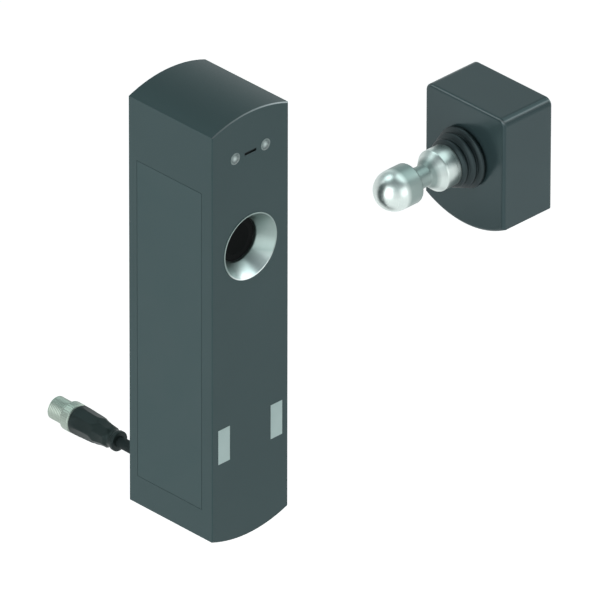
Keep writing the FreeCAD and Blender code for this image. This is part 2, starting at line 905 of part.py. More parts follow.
def make_armature():
    """The solenoid's plunger: slotted for the blade's tail, with a thin stem and a washer below."""
    rod = cylinder(S.armature_radius, "Z", (0, blade_middle, armature_low), S.armature_tall)
    half = S.tail_wide / 2 + S.seat_gap
    deep = S.blade_thick / 2 + S.seat_gap
    y = (blade_middle - deep, blade_middle + deep)
    slot = box((-half, half), y, (tail_low - S.seat_gap, armature_top + S.free_gap))
    start = (0, blade_middle - S.armature_radius, link_z)
    hole = cylinder(S.link_pin_radius + S.seat_gap, "Y", start, 2 * S.armature_radius)
    stem = cylinder(S.stem_radius, "Z", (0, blade_middle, stem_low), S.stem_tall)
    washer = cylinder(S.stem_washer_radius, "Z", (0, blade_middle, stem_low), S.stem_washer_thick)
    keep(cut(fuse([rod, stem, washer]), [slot, hole]), "armature")
    pin_half = S.armature_radius - S.free_gap
    pin = cylinder(S.link_pin_radius, "Y", (0, blade_middle - pin_half, link_z), 2 * pin_half)
    keep(pin, "link_pin")


def make_solenoid():
    """The steel loop, the moulded bobbin and the winding round the plunger."""
    half = S.yoke_wide / 2
    deep = blade_middle - inner_front
    y = (inner_front, blade_middle + deep)
    plate = S.yoke_plate
    outer = box((-half, half), y, (yoke_low, yoke_top))
    window = box((plate - half, half - plate), y, (yoke_low + plate, yoke_top - plate))
    bore = cylinder(S.armature_radius + S.free_gap, "Z", (0, blade_middle, yoke_top - plate), plate)
    stem_bore = cylinder(S.stem_radius + S.free_gap, "Z", (0, blade_middle, yoke_low), plate)
    keep(cut(outer, [window, bore, stem_bore]), "solenoid_yoke")
    low = yoke_low + plate
    high = yoke_top - plate
    core = S.armature_radius + S.free_gap + S.bobbin_wall
    spool = cylinder(core, "Z", (0, blade_middle, low), high - low)
    ends = [
        cylinder(S.bobbin_flange, "Z", (0, blade_middle, z), S.bobbin_wall) for z in (low, high - S.bobbin_wall)
    ]
    seat = armature_low - S.seat_gap
    bore = cylinder(S.armature_radius + S.free_gap, "Z", (0, blade_middle, seat), high - seat)
    stem_bore = cylinder(S.stem_radius + S.free_gap, "Z", (0, blade_middle, low), high - low)
    keep(cut(fuse([spool] + ends), [bore, stem_bore]), "solenoid_bobbin")
    coil_low = low + S.bobbin_wall
    coil_tall = high - S.bobbin_wall - coil_low
    start = (0, blade_middle, coil_low)
    keep(tube(S.coil_radius, core + S.seat_gap, "Z", start, coil_tall), "solenoid_coil")


def make_lock_spring():
    """The spring between the yoke and the stem's washer, which draws the blade down."""
    low = stem_low + S.stem_washer_thick
    radius = S.stem_washer_radius - S.free_gap
    spring = tube(radius, radius - S.lock_spring_wire, "Z", (0, blade_middle, low), yoke_low - low)
    keep(spring, "lock_spring")


def make_electronics():
    """The main board with its relays, capacitors and terminals, and the two position switches."""
    half = S.board_wide / 2
    back = board_front + S.board_thick
    board = box((-half, half), (board_front, back), (board_low, board_high))
    holes = [
        cylinder(S.board_screw_radius, "Y", (x, board_front, z), S.board_thick)
        for x, z in board_post_places()
    ]
    keep(cut(board, holes), "circuit_board")
    keep(pan_screws(board_post_places(), back), "board_screws")
    relay_low = board_low + S.board_post_inset
    relay_y = (board_front - S.relay_deep, board_front)
    relays = []
    for side in (-1, 1):
        middle = side * (S.relay_wide / 2 + S.free_gap)
        x = (middle - S.relay_wide / 2, middle + S.relay_wide / 2)
        relays.append(box(x, relay_y, (relay_low, relay_low + S.relay_tall)))
    keep(group(relays), "relays")
    up = relay_low + S.relay_tall + S.capacitor_radius + 2 * S.free_gap
    cans = []
    for side in (-1, 1):
        start = (side * (S.capacitor_radius + S.free_gap), board_front - S.capacitor_tall, up)
        cans.append(cylinder(S.capacitor_radius, "Y", start, S.capacitor_tall))
    keep(group(cans), "capacitors")
    wide = S.terminal_wide / 2
    low = board_low + S.board_tall / 2
    terminal = box((-wide, wide), (back, back + S.terminal_deep), (low, low + S.terminal_tall))
    screws = []
    screw_y = back + S.terminal_deep - S.terminal_screw_deep
    for number in range(TERMINALS):
        x = S.terminal_apart * (number - (TERMINALS - 1) / 2)
        start = (x, screw_y, low + S.terminal_tall / 2)
        screws.append(cylinder(S.screw_radius, "Y", start, S.terminal_screw_deep))
    keep(cut(terminal, screws), "terminal_block")
    seat = S.axis_up + S.receiver_tall / 2
    start = nose_end + S.receiver_deep / 2 - S.sensor_deep / 2
    wide = S.sensor_wide / 2
    case = box((-wide, wide), (start, start + S.sensor_deep), (seat, seat + S.sensor_tall))
    key_start = (0, start - S.screw_radius, seat + S.sensor_tall / 2)
    key = cylinder(S.screw_radius, "Y", key_start, S.screw_radius)
    keep(fuse([case, key]), "ejector_switch")
    side = S.yoke_wide / 2
    reach = inner_half - S.free_gap
    middle = (yoke_low + yoke_top) / 2
    tall = S.sensor_wide / 2
    start = blade_middle - S.sensor_deep / 2
    case = box((side, reach), (start, start + S.sensor_deep), (middle - tall, middle + tall))
    key = cylinder(S.screw_radius, "Z", ((side + reach) / 2, blade_middle, middle + tall), S.screw_radius)
    keep(fuse([case, key]), "lock_switch")


def make_reader_coil():
    """The flat winding round the funnel's nose that reads the actuator's coded tag."""
    inner = S.throat_radius + S.nose_wall + S.seat_gap
    start = inner_front + S.ring_thick + S.seat_gap
    long = nose_end - S.seat_gap - start
    winding = tube(inner + S.reader_coil_wide, inner, "Y", (0, start, S.axis_up), long)
    keep(winding, "reader_coil")


def make_cable_gland():
    """The rubber bushing in the cover, with a seat for the lead."""
    body = new_body("cable_gland")
    profile = facing_side(body, z=cable_z)
    tail = cover_inner - S.gland_tail
    seat = S.cable_radius + S.seat_gap
    outline(
        profile,
        [
            (0, seat),
            (0, S.gland_flange_radius),
            (-S.gland_flange_thick, S.gland_flange_radius),
            (-S.gland_flange_thick, S.gland_radius),
            (cover_inner, S.gland_radius),
            (tail, S.gland_radius - S.gland_taper),
            (tail, S.cable_radius / 2),
            (-S.cable_seat, S.cable_radius / 2),
            (-S.cable_seat, seat),
        ],
    )
    revolve(body, profile)


def make_cable():
    """The lead's free length: straight runs joined by tangent arcs."""
    points = [Vector(0, y, z) for y, z in CABLE_ROUTE]
    edges = []
    last = points[0]
    length = 0
    for before, point, after in zip(points, points[1:], points[2:]):
        inward = (before - point).normalize()
        outward = (after - point).normalize()
        half_turn = (math.pi - inward.getAngle(outward)) / 2
        reach = 0.45 * min((before - point).Length, (after - point).Length)
        radius = reach / math.tan(half_turn)
        start = point + inward * reach
        end = point + outward * reach
        middle_way = (inward + outward).normalize()
        middle = point + middle_way * (radius / math.cos(half_turn) - radius)
        print("cable bend radius", round(radius, 1))
        edges.append(Part.LineSegment(last, start).toShape())
        edges.append(Part.Arc(start, middle, end).toShape())
        length += (start - last).Length + 2 * half_turn * radius
        last = end
    edges.append(Part.LineSegment(last, points[-1]).toShape())
    length += (points[-1] - last).Length
    section = Part.Wire(Part.Circle(points[0], points[1] - points[0], S.cable_radius.value).toShape())
    tube = Part.Wire(edges).makePipeShell([section], True, False)
    ideal = math.pi * S.cable_radius.value**2 * length
    print("cable length", round(length, 2), "volume share", round(tube.Volume / ideal, 4))
    cable = doc.addObject("Part::Feature", "cable")
    cable.Shape = tube
    cable.Placement = FreeCAD.Placement()
    keep(cable, "cable")


# the plug stands on the end of the lead, in line with its last run
lead_end = Vector(0, *CABLE_ROUTE[-1])
lead_way = (lead_end - Vector(0, *CABLE_ROUTE[-2])).normalize()
plug_tilt = math.degrees(math.atan2(lead_way.z, lead_way.y))
plug_start = (0, lead_end.y - lead_way.y * S.plug_seat, lead_end.z - lead_way.z * S.plug_seat)
carrier_bore = S.carrier_radius / 2 + S.seat_gap
thread_start = S.grip_long + S.collar_long


def stand_on_lead(piece):
    """Put a plug piece, modelled along Y from the plug's own back end, on the lead."""
    piece.Placement = FreeCAD.Placement(Vector(), FreeCAD.Rotation(Vector(1, 0, 0), plug_tilt))
    place(piece, *plug_start)


def make_plug_grip():
    """The moulded grip: ring, neck and a taper with eight flats, with a seat for the lead."""
    body = new_body("plug_grip")
    profile = facing_side(body)
    seat = S.cable_radius + S.seat_gap
    neck = S.grip_ring_long + S.grip_neck_long
    outline(
        profile,
        [
            (0, seat),
            (0, S.grip_ring_radius - S.free_gap),
            (S.free_gap, S.grip_ring_radius),
            (S.grip_ring_long - S.free_gap, S.grip_ring_radius),
            (S.grip_ring_long, S.grip_neck_radius),
            (neck, S.grip_neck_radius),
            (neck + S.grip_rise, S.grip_back_radius),
            (S.grip_shoulder, S.grip_shoulder_radius),
            (S.grip_long - S.free_gap, S.grip_front_radius),
            (S.grip_long, S.grip_front_radius - S.free_gap),
            (S.grip_long, carrier_bore),
            (S.grip_long - S.collar_long, carrier_bore),
            (S.grip_long - S.collar_long, 0),
            (S.plug_seat, 0),
            (S.plug_seat, seat),
        ],
    )
    revolve(body, profile)
    flat = facing_side(body, x=-S.grip_front_radius)
    far = S.grip_front_radius + S.flat_deep
    back = S.grip_shoulder + S.grip_rise
    end = S.grip_long - S.grip_rise
    low = S.grip_shoulder_radius - S.flat_deep
    high = S.grip_front_radius - S.flat_deep
    outline(flat, [(back, low), (end, high), (end, far), (back, far)])
    side = pocket(body, flat, 2 * S.grip_front_radius)
    repeat_round(body, side, flat, "H_Axis", FLATS)
    stand_on_lead(body)


def make_plug_nut():
    """The coupling nut: a knurled collar and a threaded sleeve, free to turn on the carrier."""
    body = new_body("plug_nut")
    start = S.grip_long + S.slide_gap
    end = thread_start + S.thread_long
    bore = S.carrier_radius + S.spin_gap
    chamfer = S.free_gap
    profile = facing_side(body)
    outline(
        profile,
        [
            (start, bore),
            (start, S.collar_radius - chamfer),
            (start + chamfer, S.collar_radius),
            (thread_start - chamfer, S.collar_radius),
            (thread_start, S.collar_radius - chamfer),
            (thread_start, S.thread_radius),
            (end, S.thread_radius),
            (end, bore),
        ],
    )
    revolve(body, profile)
    groove = facing_front(body, start)
    top = S.collar_radius + S.knurl_deep
    half = S.knurl_wide / 2
    outline(groove, [(-half, top), (0, S.collar_radius - S.knurl_deep), (half, top)])
    tooth = pocket(body, groove, S.collar_long - S.slide_gap)
    repeat_round(body, tooth, groove, "N_Axis", KNURLS)
    stand_on_lead(body)


def make_plug_core():
    """The contact carrier and its five pins."""
    body = new_body("plug_carrier")
    profile = facing_side(body)
    back = S.grip_long - S.collar_long
    end = S.grip_long + S.carrier_long
    outline(
        profile,
        [
            (back, 0),
            (back, S.carrier_radius / 2),
            (S.grip_long, S.carrier_radius / 2),
            (S.grip_long, S.carrier_radius),
            (end, S.carrier_radius),
            (end, 0),
        ],
    )
    revolve(body, profile)
    stand_on_lead(body)
    off = S.pin_circle * half_root
    pins = [
        cylinder(S.pin_radius, "Y", (across, end, up), S.pin_long)
        for across, up in [(0, 0)] + corners_of(off, off)
    ]
    stand_on_lead(keep(group(pins), "plug_pins"))


# the actuator's axis: level, towards the housing's own axis from the right
stud_y = front - S.ball_forward
ball_x = S.ball_aside
block_x = ball_x + S.boot_end
block_back = block_x + S.block_deep
pivot_x = block_x + S.pivot_deep
block_middle = S.axis_up - S.block_drop
block_top = block_middle + S.block_tall / 2
block_low = block_middle - S.block_tall / 2


def along_stud(body):
    """A sketch through the stud's axis, with u along X from the row's origin."""
    return drawing_on(body, "XZ_Plane", 0, S.axis_up, -stud_y)


def make_ball_stud():
    """The turned steel stud: ball head, neck, collar, shank and the ball that it tilts on."""
    body = new_body("ball_stud")
    profile = along_stud(body)
    head_end = ball_x + S.ball_straight
    shank_meets = square_root(S.pivot_radius * S.pivot_radius - S.neck_radius * S.neck_radius)
    tail_meets = square_root(S.pivot_radius * S.pivot_radius - S.stud_tail_radius * S.stud_tail_radius)
    collar_end = ball_x + S.stud_collar_end
    edge = S.stud_edge
    outline(
        profile,
        [
            (ball_x - S.ball_radius, 0, -S.ball_radius),
            (ball_x, S.ball_radius),
            (head_end - edge, S.ball_radius),
            (head_end, S.ball_radius - edge),
            (head_end, S.neck_radius),
            (ball_x + S.neck_end, S.neck_radius),
            (ball_x + S.shoulder_end, S.stud_collar_radius),
            (collar_end - edge, S.stud_collar_radius),
            (collar_end, S.stud_collar_radius - edge),
            (collar_end, S.neck_radius),
            (pivot_x - shank_meets, S.neck_radius, -S.pivot_radius),
            (pivot_x, S.pivot_radius, -S.pivot_radius),
            (pivot_x + tail_meets, S.stud_tail_radius),
            (pivot_x + S.stud_tail_end, S.stud_tail_radius),
            (pivot_x + S.stud_tail_end, 0),
        ],
    )
    revolve(body, profile)


def make_rubber_boot():
    """The bellows between the stud's collar and the block, three ridges that widen to the block."""
    body = new_body("rubber_boot")
    start = ball_x + S.stud_collar_end
    long = S.boot_end - S.stud_collar_end
    ridges = [S.boot_small_ridge, S.boot_middle_ridge, S.boot_large_ridge]
    pitch = long / len(ridges)
    flat = S.boot_crest / 2
    outer = []
    for number, ridge in enumerate(ridges):
        crest = start + pitch * (number + 0.5)
        outer.append((start + pitch * number, ridge - S.boot_valley))
        outer.append((crest - flat, ridge))
        outer.append((crest + flat, ridge))
    foot = S.boot_large_ridge - S.boot_valley
    hollow = [
        (block_x, foot),
        (block_x, foot - S.boot_wall),
        (start + S.boot_wall, S.boot_small_ridge - S.boot_valley - S.boot_wall),
        (start + S.boot_wall, S.neck_radius + S.free_gap),
        (start, S.neck_radius + S.free_gap),
    ]
    profile = outline(along_stud(body), outer + hollow)
    revolve(body, profile)


def make_actuator_block():
    """The cast block: rounded top corners, curved foot, open back with a rebate for the plate."""
    body = new_body("actuator_block")
    half = S.block_wide / 2
    radius = (half * half + S.block_rise * S.block_rise) / (2 * S.block_rise)
    turn = S.block_round
    face = facing_side(body, x=block_x, y=stud_y)
    outline(
        face,
        [
            (-half, block_low, radius),
            (half, block_low),
            (half, block_top - turn, turn),
            (half - turn, block_top),
            (turn - half, block_top, turn),
            (-half, block_top - turn),
        ],
    )
    shell = pad(body, face, S.block_deep)

    def on_an_end(edge):
        ends = (edge.BoundBox.XMin, edge.BoundBox.XMax)
        return any(all(abs(end - x.value) < SAME for end in ends) for x in (block_x, block_back))

    dress_edges(body, shell, "Fillet", "Radius", S.block_edge, on_an_end)
    rim = S.plate_rim
    seat = facing_side(body, x=block_back, y=stud_y)
    rectangle(seat, (rim - half, half - rim), (block_low + rim, block_top - rim))
    pocket(body, seat, S.plate_thick, way=-1)
    wall = S.block_wall
    hollow = facing_side(body, x=block_back, y=stud_y)
    rectangle(hollow, (wall - half, half - wall), (block_low + wall, block_top - wall))
    pocket(body, hollow, S.block_deep - S.block_front, way=-1)
    inner = block_x + S.block_front
    column = circles(facing_side(body, x=inner, y=stud_y, z=block_middle), S.boss_radius, plate_screw_places())
    pad(body, column, block_back - S.plate_thick - inner)
    holes = circles(
        facing_side(body, x=block_back - S.plate_thick, y=stud_y, z=block_middle),
        S.screw_radius + S.seat_gap,
        plate_screw_places(),
    )
    pocket(body, holes, S.screw_long - S.plate_thick + S.free_gap, way=-1)
    opening = facing_side(body, x=block_x, y=stud_y, z=S.axis_up)
    circles(opening, S.seat_radius + S.seat_gap, [(0, 0)])
    pocket(body, opening, S.block_front)


def plate_screw_places():
    inset = S.block_wall + S.boss_radius - S.free_gap
    return corners_of(S.block_wide / 2 - inset, S.block_tall / 2 - inset)


def make_actuator_plate():
    """The plate in the block's back, with its tapped mounting holes and screw seats."""
    body = new_body("actuator_plate")
    half = S.block_wide / 2 - S.plate_rim - S.slide_gap
    high = S.block_tall / 2 - S.plate_rim - S.slide_gap
    inner = block_back - S.plate_thick
    face = rectangle(facing_side(body, x=inner, y=stud_y, z=block_middle), (-half, half), (-high, high))
    pad(body, face, S.plate_thick)
    mounts = circles(
        facing_side(body, x=block_back, y=stud_y, z=S.axis_up),
        S.mount_hole_radius,
        corners_of(S.plate_mount_apart, S.plate_mount_apart),
    )
    pocket(body, mounts, S.plate_thick, way=-1)
    shanks = facing_side(body, x=block_back, y=stud_y, z=block_middle)
    circles(shanks, S.screw_radius + S.seat_gap, plate_screw_places())
    pocket(body, shanks, S.plate_thick, way=-1)
    for y, z in plate_screw_places():
        profile = drawing_on(body, "XZ_Plane", 0, block_middle + z, -(stud_y + y))
        rim = S.screw_head_radius + S.seat_gap
        outline(
            profile,
            [
                (block_back, 0),
                (block_back, rim),
                (block_back - head_tall - S.seat_gap, S.screw_radius),
                (block_back - head_tall, 0),
            ],
        )
        revolve(body, profile, "Groove")


def make_plate_screws():
    screws = []
    for y, z in plate_screw_places():
        across = stud_y + y
        up = block_middle + z
        head_start = (block_back - head_tall, across, up)
        screws.append(countersunk_screw("X", head_start, (block_back - S.screw_long, across, up)))
    keep(group(screws), "plate_screws")


def make_pivot_seat():
    """The ring in the block's front wall with the hollow ball seat of the stud."""
    body = new_body("pivot_seat")
    profile = along_stud(body)
    hollow = S.pivot_radius + S.seat_gap
    lip = S.pivot_radius / 2
    lip_radius = square_root(hollow * hollow - lip * lip)
    wall_end = block_x + S.block_front
    outline(
        profile,
        [
            (block_x, lip_radius + S.free_gap),
            (pivot_x - lip, lip_radius, -hollow),
            (pivot_x, hollow, -hollow),
            (pivot_x + lip, lip_radius),
            (wall_end + S.seat_flange_thick, lip_radius),
            (wall_end + S.seat_flange_thick, S.seat_flange_radius),
            (wall_end, S.seat_flange_radius),
            (wall_end, S.seat_radius),
            (block_x, S.seat_radius),
        ],
    )
    revolve(body, profile)


def make_stud_end():
    """The washer, the nut and the centring spring on the stud's tail."""
    end = pivot_x + S.stud_tail_end
    nut_start = end - S.tail_nut_thick - S.free_gap
    washer_start = nut_start - S.tail_washer_thick
    hole = S.stud_tail_radius + S.seat_gap
    start = (washer_start, stud_y, S.axis_up)
    keep(tube(S.tail_washer_radius, hole, "X", start, S.tail_washer_thick), "tail_washer")
    nut = new_body("tail_nut")
    flats = facing_side(nut, x=nut_start, y=stud_y, z=S.axis_up)
    turns = [2 * math.pi * number / NUT_SIDES for number in range(NUT_SIDES)]
    outline(flats, [(S.tail_nut_radius * math.cos(turn), S.tail_nut_radius * math.sin(turn)) for turn in turns])
    circles(flats, hole, [(0, 0)])
    pad(nut, flats, S.tail_nut_thick)
    flange_end = block_x + S.block_front + S.seat_flange_thick
    radius = S.tail_washer_radius
    start = (flange_end, stud_y, S.axis_up)
    spring = tube(radius, radius - S.centring_wire, "X", start, washer_start - flange_end)
    keep(spring, "centring_spring")


def make_coded_tag():
    """The coded tag, a ring in front of the block's inner wall round the seat's flange."""
    start = (block_x + S.block_front, stud_y, S.axis_up)
    inner = S.seat_flange_radius + S.free_gap
    keep(tube(inner + S.reader_coil_wide, inner, "X", start, S.seat_flange_thick), "coded_tag")


make_housing()
make_side_panel()
make_rear_cover()
make_cover_gasket()
make_cover_screws()
make_entry_funnel()
make_funnel_ring()
make_status_light("status_light_left", -1)
make_status_light("status_light_right", 1)
make_light_board()
make_window("window_left", -1)
make_window("window_right", 1)
make_receiver()
make_receiver_screws()
make_guide_rods()
make_ejector()
make_ejector_pad()
make_ejector_springs()
make_lock_blade()
make_armature()
make_solenoid()
make_lock_spring()
make_electronics()
make_reader_coil()
make_cable_gland()
make_cable()
make_plug_grip()
make_plug_nut()
make_plug_core()
make_ball_stud()
make_rubber_boot()
make_actuator_block()
make_actuator_plate()
make_plate_screws()
make_pivot_seat()
make_stud_end()
make_coded_tag()

doc.recompute()
for thing in doc.Objects:
    if "Invalid" in thing.State or "Error" in thing.State:
        raise SystemExit(f"{thing.Name} failed: {thing.State}")
    if thing.TypeId in ("PartDesign::Pocket", "PartDesign::Groove"):
        if thing.Shape.Volume > thing.BaseFeature.Shape.Volume - 1e-6:
            raise SystemExit(f"{thing.Name} cuts nothing")
for piece in nodes:
    if piece.Shape.isNull() or not piece.Shape.isValid():
        raise SystemExit(f"{piece.Label} has no valid shape")

os.makedirs("parts", exist_ok=True)
for piece in nodes:
    piece.Shape.exportStep(f"parts/{piece.Label}.step")
print(len(nodes), "nodes")
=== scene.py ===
"""A tongue interlock switch for a machine guard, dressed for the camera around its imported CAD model."""
import math

import bmesh
import bpy
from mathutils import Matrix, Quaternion, Vector


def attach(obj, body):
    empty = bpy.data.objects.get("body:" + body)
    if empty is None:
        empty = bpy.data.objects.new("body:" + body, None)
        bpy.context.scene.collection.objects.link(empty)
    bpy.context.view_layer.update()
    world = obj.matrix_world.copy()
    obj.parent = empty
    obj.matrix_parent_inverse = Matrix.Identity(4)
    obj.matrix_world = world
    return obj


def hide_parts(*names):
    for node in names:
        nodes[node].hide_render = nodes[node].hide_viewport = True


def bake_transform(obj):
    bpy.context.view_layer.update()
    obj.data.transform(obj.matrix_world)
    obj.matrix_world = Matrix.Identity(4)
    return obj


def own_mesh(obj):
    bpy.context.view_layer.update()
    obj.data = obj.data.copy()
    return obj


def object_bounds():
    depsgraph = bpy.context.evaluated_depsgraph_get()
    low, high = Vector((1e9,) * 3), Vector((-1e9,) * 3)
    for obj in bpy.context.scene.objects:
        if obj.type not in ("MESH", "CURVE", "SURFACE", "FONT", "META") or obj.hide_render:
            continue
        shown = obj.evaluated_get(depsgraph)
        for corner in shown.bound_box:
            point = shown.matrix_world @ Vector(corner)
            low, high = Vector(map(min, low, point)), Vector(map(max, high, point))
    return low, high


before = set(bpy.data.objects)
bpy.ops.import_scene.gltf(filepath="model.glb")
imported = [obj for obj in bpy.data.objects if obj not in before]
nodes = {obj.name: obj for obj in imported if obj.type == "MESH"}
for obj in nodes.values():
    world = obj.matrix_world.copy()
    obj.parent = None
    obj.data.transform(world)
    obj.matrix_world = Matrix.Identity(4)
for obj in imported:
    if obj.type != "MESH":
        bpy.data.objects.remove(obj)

cad_box = [list(corner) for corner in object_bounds()]


# The camera. The photograph looks down on the switch's left front corner from so far away that
# parallel edges stay parallel, so the camera has a very long lens and stands back to suit.
def mm(*lengths):
    """A point or a way given in millimetres, in the scene's metres."""
    return Vector(lengths) / 1000


aim = mm(60.33, -28.02, -23.63)
camera_turn = math.radians(-44.37)
camera_rise = math.radians(30.3)
camera_lean = math.radians(0.12)
camera_lens = 1200
pixels_per_metre = 2108
picture_pixels = 600

camera_data = bpy.data.cameras.new("camera")
camera_data.lens = camera_lens
camera_data.sensor_width = 36
pixels_of_lens = picture_pixels * camera_data.lens / camera_data.sensor_width
backwards = Vector(
    (
        math.sin(camera_turn) * math.cos(camera_rise),
        -math.cos(camera_turn) * math.cos(camera_rise),
        math.sin(camera_rise),
    )
)
camera = bpy.data.objects.new("camera", camera_data)
camera.location = aim + backwards * pixels_of_lens / pixels_per_metre
camera.rotation_mode = "QUATERNION"
upright = (-backwards).to_track_quat("-Z", "Y")
camera.rotation_quaternion = upright @ Quaternion((0, 0, 1), camera_lean)
camera_data.clip_start = 0.5
camera_data.clip_end = 100
bpy.context.scene.collection.objects.link(camera)
bpy.context.scene.camera = camera
bpy.context.scene.view_settings.view_transform = "Standard"


# The lead. A short black polyurethane jacket, 5.7 mm thick and stiff, that leaves the foot of the
# rear cover through its gland, straight back, and rises a little into the moulded plug.
class Wire:
    """One output of a finish's nodes. Sums on values add Math nodes; add() makes any other node."""

    def __init__(self, socket):
        self.socket = socket

    def add(self, kind, settings=None, sockets=None, output=0):
        """Make a node, set it, give its sockets values or wires, and return one of its outputs."""
        node = self.socket.id_data.nodes.new("ShaderNode" + kind)
        for name, value in (settings or {}).items():
            if name == "stops":
                first, last = node.color_ramp.elements
                first.position, first.color = value[0]
                last.position, last.color = value[-1]
                for position, colour in value[1:-1]:
                    node.color_ramp.elements.new(position).color = colour
            else:
                setattr(node, name, value)
        for name, value in (sockets or {}).items():
            if isinstance(value, Wire):
                node.id_data.links.new(value.socket, node.inputs[name])
            else:
                node.inputs[name].default_value = value
        return Wire(node.outputs[output]) if node.outputs else None

    def sum(self, operation, first, second=0.0):
        return self.add("Math", {"operation": operation}, {0: first, 1: second})

    def __add__(self, other):
        return self.sum("ADD", self, other)

    def __sub__(self, other):
        return self.sum("SUBTRACT", self, other)

    def __rsub__(self, other):
        return self.sum("SUBTRACT", other, self)

    def __mul__(self, other):
        return self.sum("MULTIPLY", self, other)

    __radd__ = __add__
    __rmul__ = __mul__

    def size(self):
        return self.sum("ABSOLUTE", self)

    def between(self, low, high):
        """0 below low, 1 above high, and a straight climb between them."""
        return self.add("MapRange", {"clamp": True}, {0: self, 1: low, 2: high})

    def along(self, way):
        """How far a place lies along a way."""
        return self.add("VectorMath", {"operation": "DOT_PRODUCT"}, {0: self, 1: way}, "Value")

    def parts(self):
        """The x, y and z of a place."""
        first = self.add("SeparateXYZ", {}, {0: self})
        return [Wire(output) for output in first.socket.node.outputs]

    def noise(self, per_metre, detail=2.0):
        """Even grain around a half, with that many grains to the metre."""
        return self.add("TexNoise", {}, {"Vector": self, "Scale": per_metre, "Detail": detail})

    def blended(self, low, high):
        """This value's mix of two colours."""
        low, high = ((*c, 1) if isinstance(c, tuple) else c for c in (low, high))
        return self.add("Mix", {"data_type": "RGBA"}, {0: self, 6: low, 7: high}, 2)

    def raised(self, strength, depth):
        """The surface's normal, tilted as if this value stood that many metres high."""
        return self.add("Bump", {}, {"Strength": strength, "Distance": depth, "Height": self})


def start_finish(name):
    """A new material, and the place on the piece, in metres, that its nodes start from."""
    material = bpy.data.materials.new(name)
    material.use_nodes = True
    material.node_tree.nodes.clear()
    corner = material.node_tree.nodes.new("ShaderNodeTexCoord")
    return material, Wire(corner.outputs["Object"])


def end_finish(material, place, **sockets):
    """Close a material with its surface shader, whose sockets are named with _ for a space."""
    named = {name.replace("_", " "): value for name, value in sockets.items()}
    surface = place.add("BsdfPrincipled", {}, named)
    place.add("OutputMaterial", {}, {"Surface": surface})
    return material


def moulded(name, dark, light, roughness, grain, height, **fixed):
    """Moulded plastic or rubber: two near shades, a fine grain, and patches that are a little duller."""
    material, place = start_finish(name)
    patches = place.noise(60)
    return end_finish(
        material,
        place,
        Base_Color=patches.between(0.3, 0.7).blended(dark, light),
        Roughness=patches.between(0.3, 0.7) * 0.08 + roughness,
        Normal=place.noise(grain, 3).raised(0.35, height),
        **fixed,
    )


def dressed(piece, finish, body, slot, *replaced):
    """Give a piece its finish, let it ride on a body, and let it stand for CAD nodes."""
    piece.data.materials.append(finish)
    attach(piece, body)
    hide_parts(*replaced)


def finish_nodes(finish, *names):
    """Give CAD nodes a finish."""
    for name in names:
        for place in nodes[name].material_slots:
            place.material = finish


# the slightly blue shine of the dark plastics and coats
cool = (0.7, 0.96, 1.0, 1.0)
lead_radius = 2.85
lead_route = [
    (0, -2.5, -103.0),
    (0, 8.5, -103.0),
    (0, 21.0, -102.95),
    (0, 34.8, -102.8),
]
lead_curve = bpy.data.curves.new("lead", "CURVE")
lead_curve.dimensions = "3D"
lead_curve.bevel_depth = lead_radius / 1000
lead_curve.bevel_resolution = 8
lead_curve.resolution_u = 16
lead_curve.use_fill_caps = True
lead_line = lead_curve.splines.new("NURBS")
lead_line.points.add(len(lead_route) - 1)
for point, place in zip(lead_line.points, lead_route):
    point.co = (*mm(*place), 1)
lead_line.order_u = 3
lead_line.use_endpoint_u = True
lead = bpy.data.objects.new("lead", lead_curve)
bpy.context.scene.collection.objects.link(lead)
jacket = moulded(
    "jacket",
    (0.013, 0.019, 0.019),
    (0.019, 0.026, 0.026),
    0.6,
    2500,
    0.00005,
    Specular_IOR_Level=0.15,
    Specular_Tint=cool,
)
dressed(lead, jacket, "switch", "cable_jacket", "cable")

# The gland. A soft black rubber collar, moulded to the cover's hole, that keeps the lead from
# being pulled or bent where it comes out.
gland_rubber = moulded("gland_rubber", (0.010, 0.010, 0.011), (0.018, 0.018, 0.019), 0.62, 1800, 0.0001)
finish_nodes(gland_rubber, "cable_gland")


# The plug's grip. Black polyurethane moulded round the lead: a ring, a neck, and a tapered body
# with eight long flats behind the collar and eight short ones, between them, towards the neck.
def rounded(corners, steps=4):
    """A profile through corners (along, radius, rounding) in millimetres, each one rounded off."""
    line = []
    for number, (along, radius, rounding) in enumerate(corners):
        corner = Vector((along, radius))
        if not rounding:
            line.append(corner)
            continue
        before = Vector(corners[number - 1][:2])
        after = Vector(corners[(number + 1) % len(corners)][:2])
        enter = corner + (before - corner).normalized() * rounding
        leave = corner + (after - corner).normalized() * rounding
        for step in range(steps + 1):
            t = step / steps
            line.append(enter * (1 - t) ** 2 + corner * 2 * t * (1 - t) + leave * t**2)
    return line


def turned(name, start, way, profile, around=96, ring=False, shape=None, sharp=40):
    """Turn a profile of (along, radius) in millimetres round the line from start along way.

    A ring's profile is a closed loop. shape changes a radius by its place along and its angle.
    """
    across = way.orthogonal().normalized()
    up = way.cross(across)
    shell = bmesh.new()
    rows = []
    for along, radius in profile:
        centre = start + way * along / 1000
        if radius < 0.001:
            rows.append([shell.verts.new(centre)] * around)
            continue
        row = []
        for number in range(around):
            angle = 2 * math.pi * number / around
            out = shape(along, radius, angle) if shape else radius
            row.append(
                shell.verts.new(
                    centre + (across * math.cos(angle) + up * math.sin(angle)) * out / 1000
                )
            )
        rows.append(row)
    pairs = list(zip(rows, rows[1:])) + ([(rows[-1], rows[0])] if ring else [])
    for row, following in pairs:
        for number in range(around):
            beside = (number + 1) % around
            corners = [row[number], row[beside], following[beside], following[number]]
            shell.faces.new(dict.fromkeys(corners))
    return finished_mesh(name, shell, sharp)


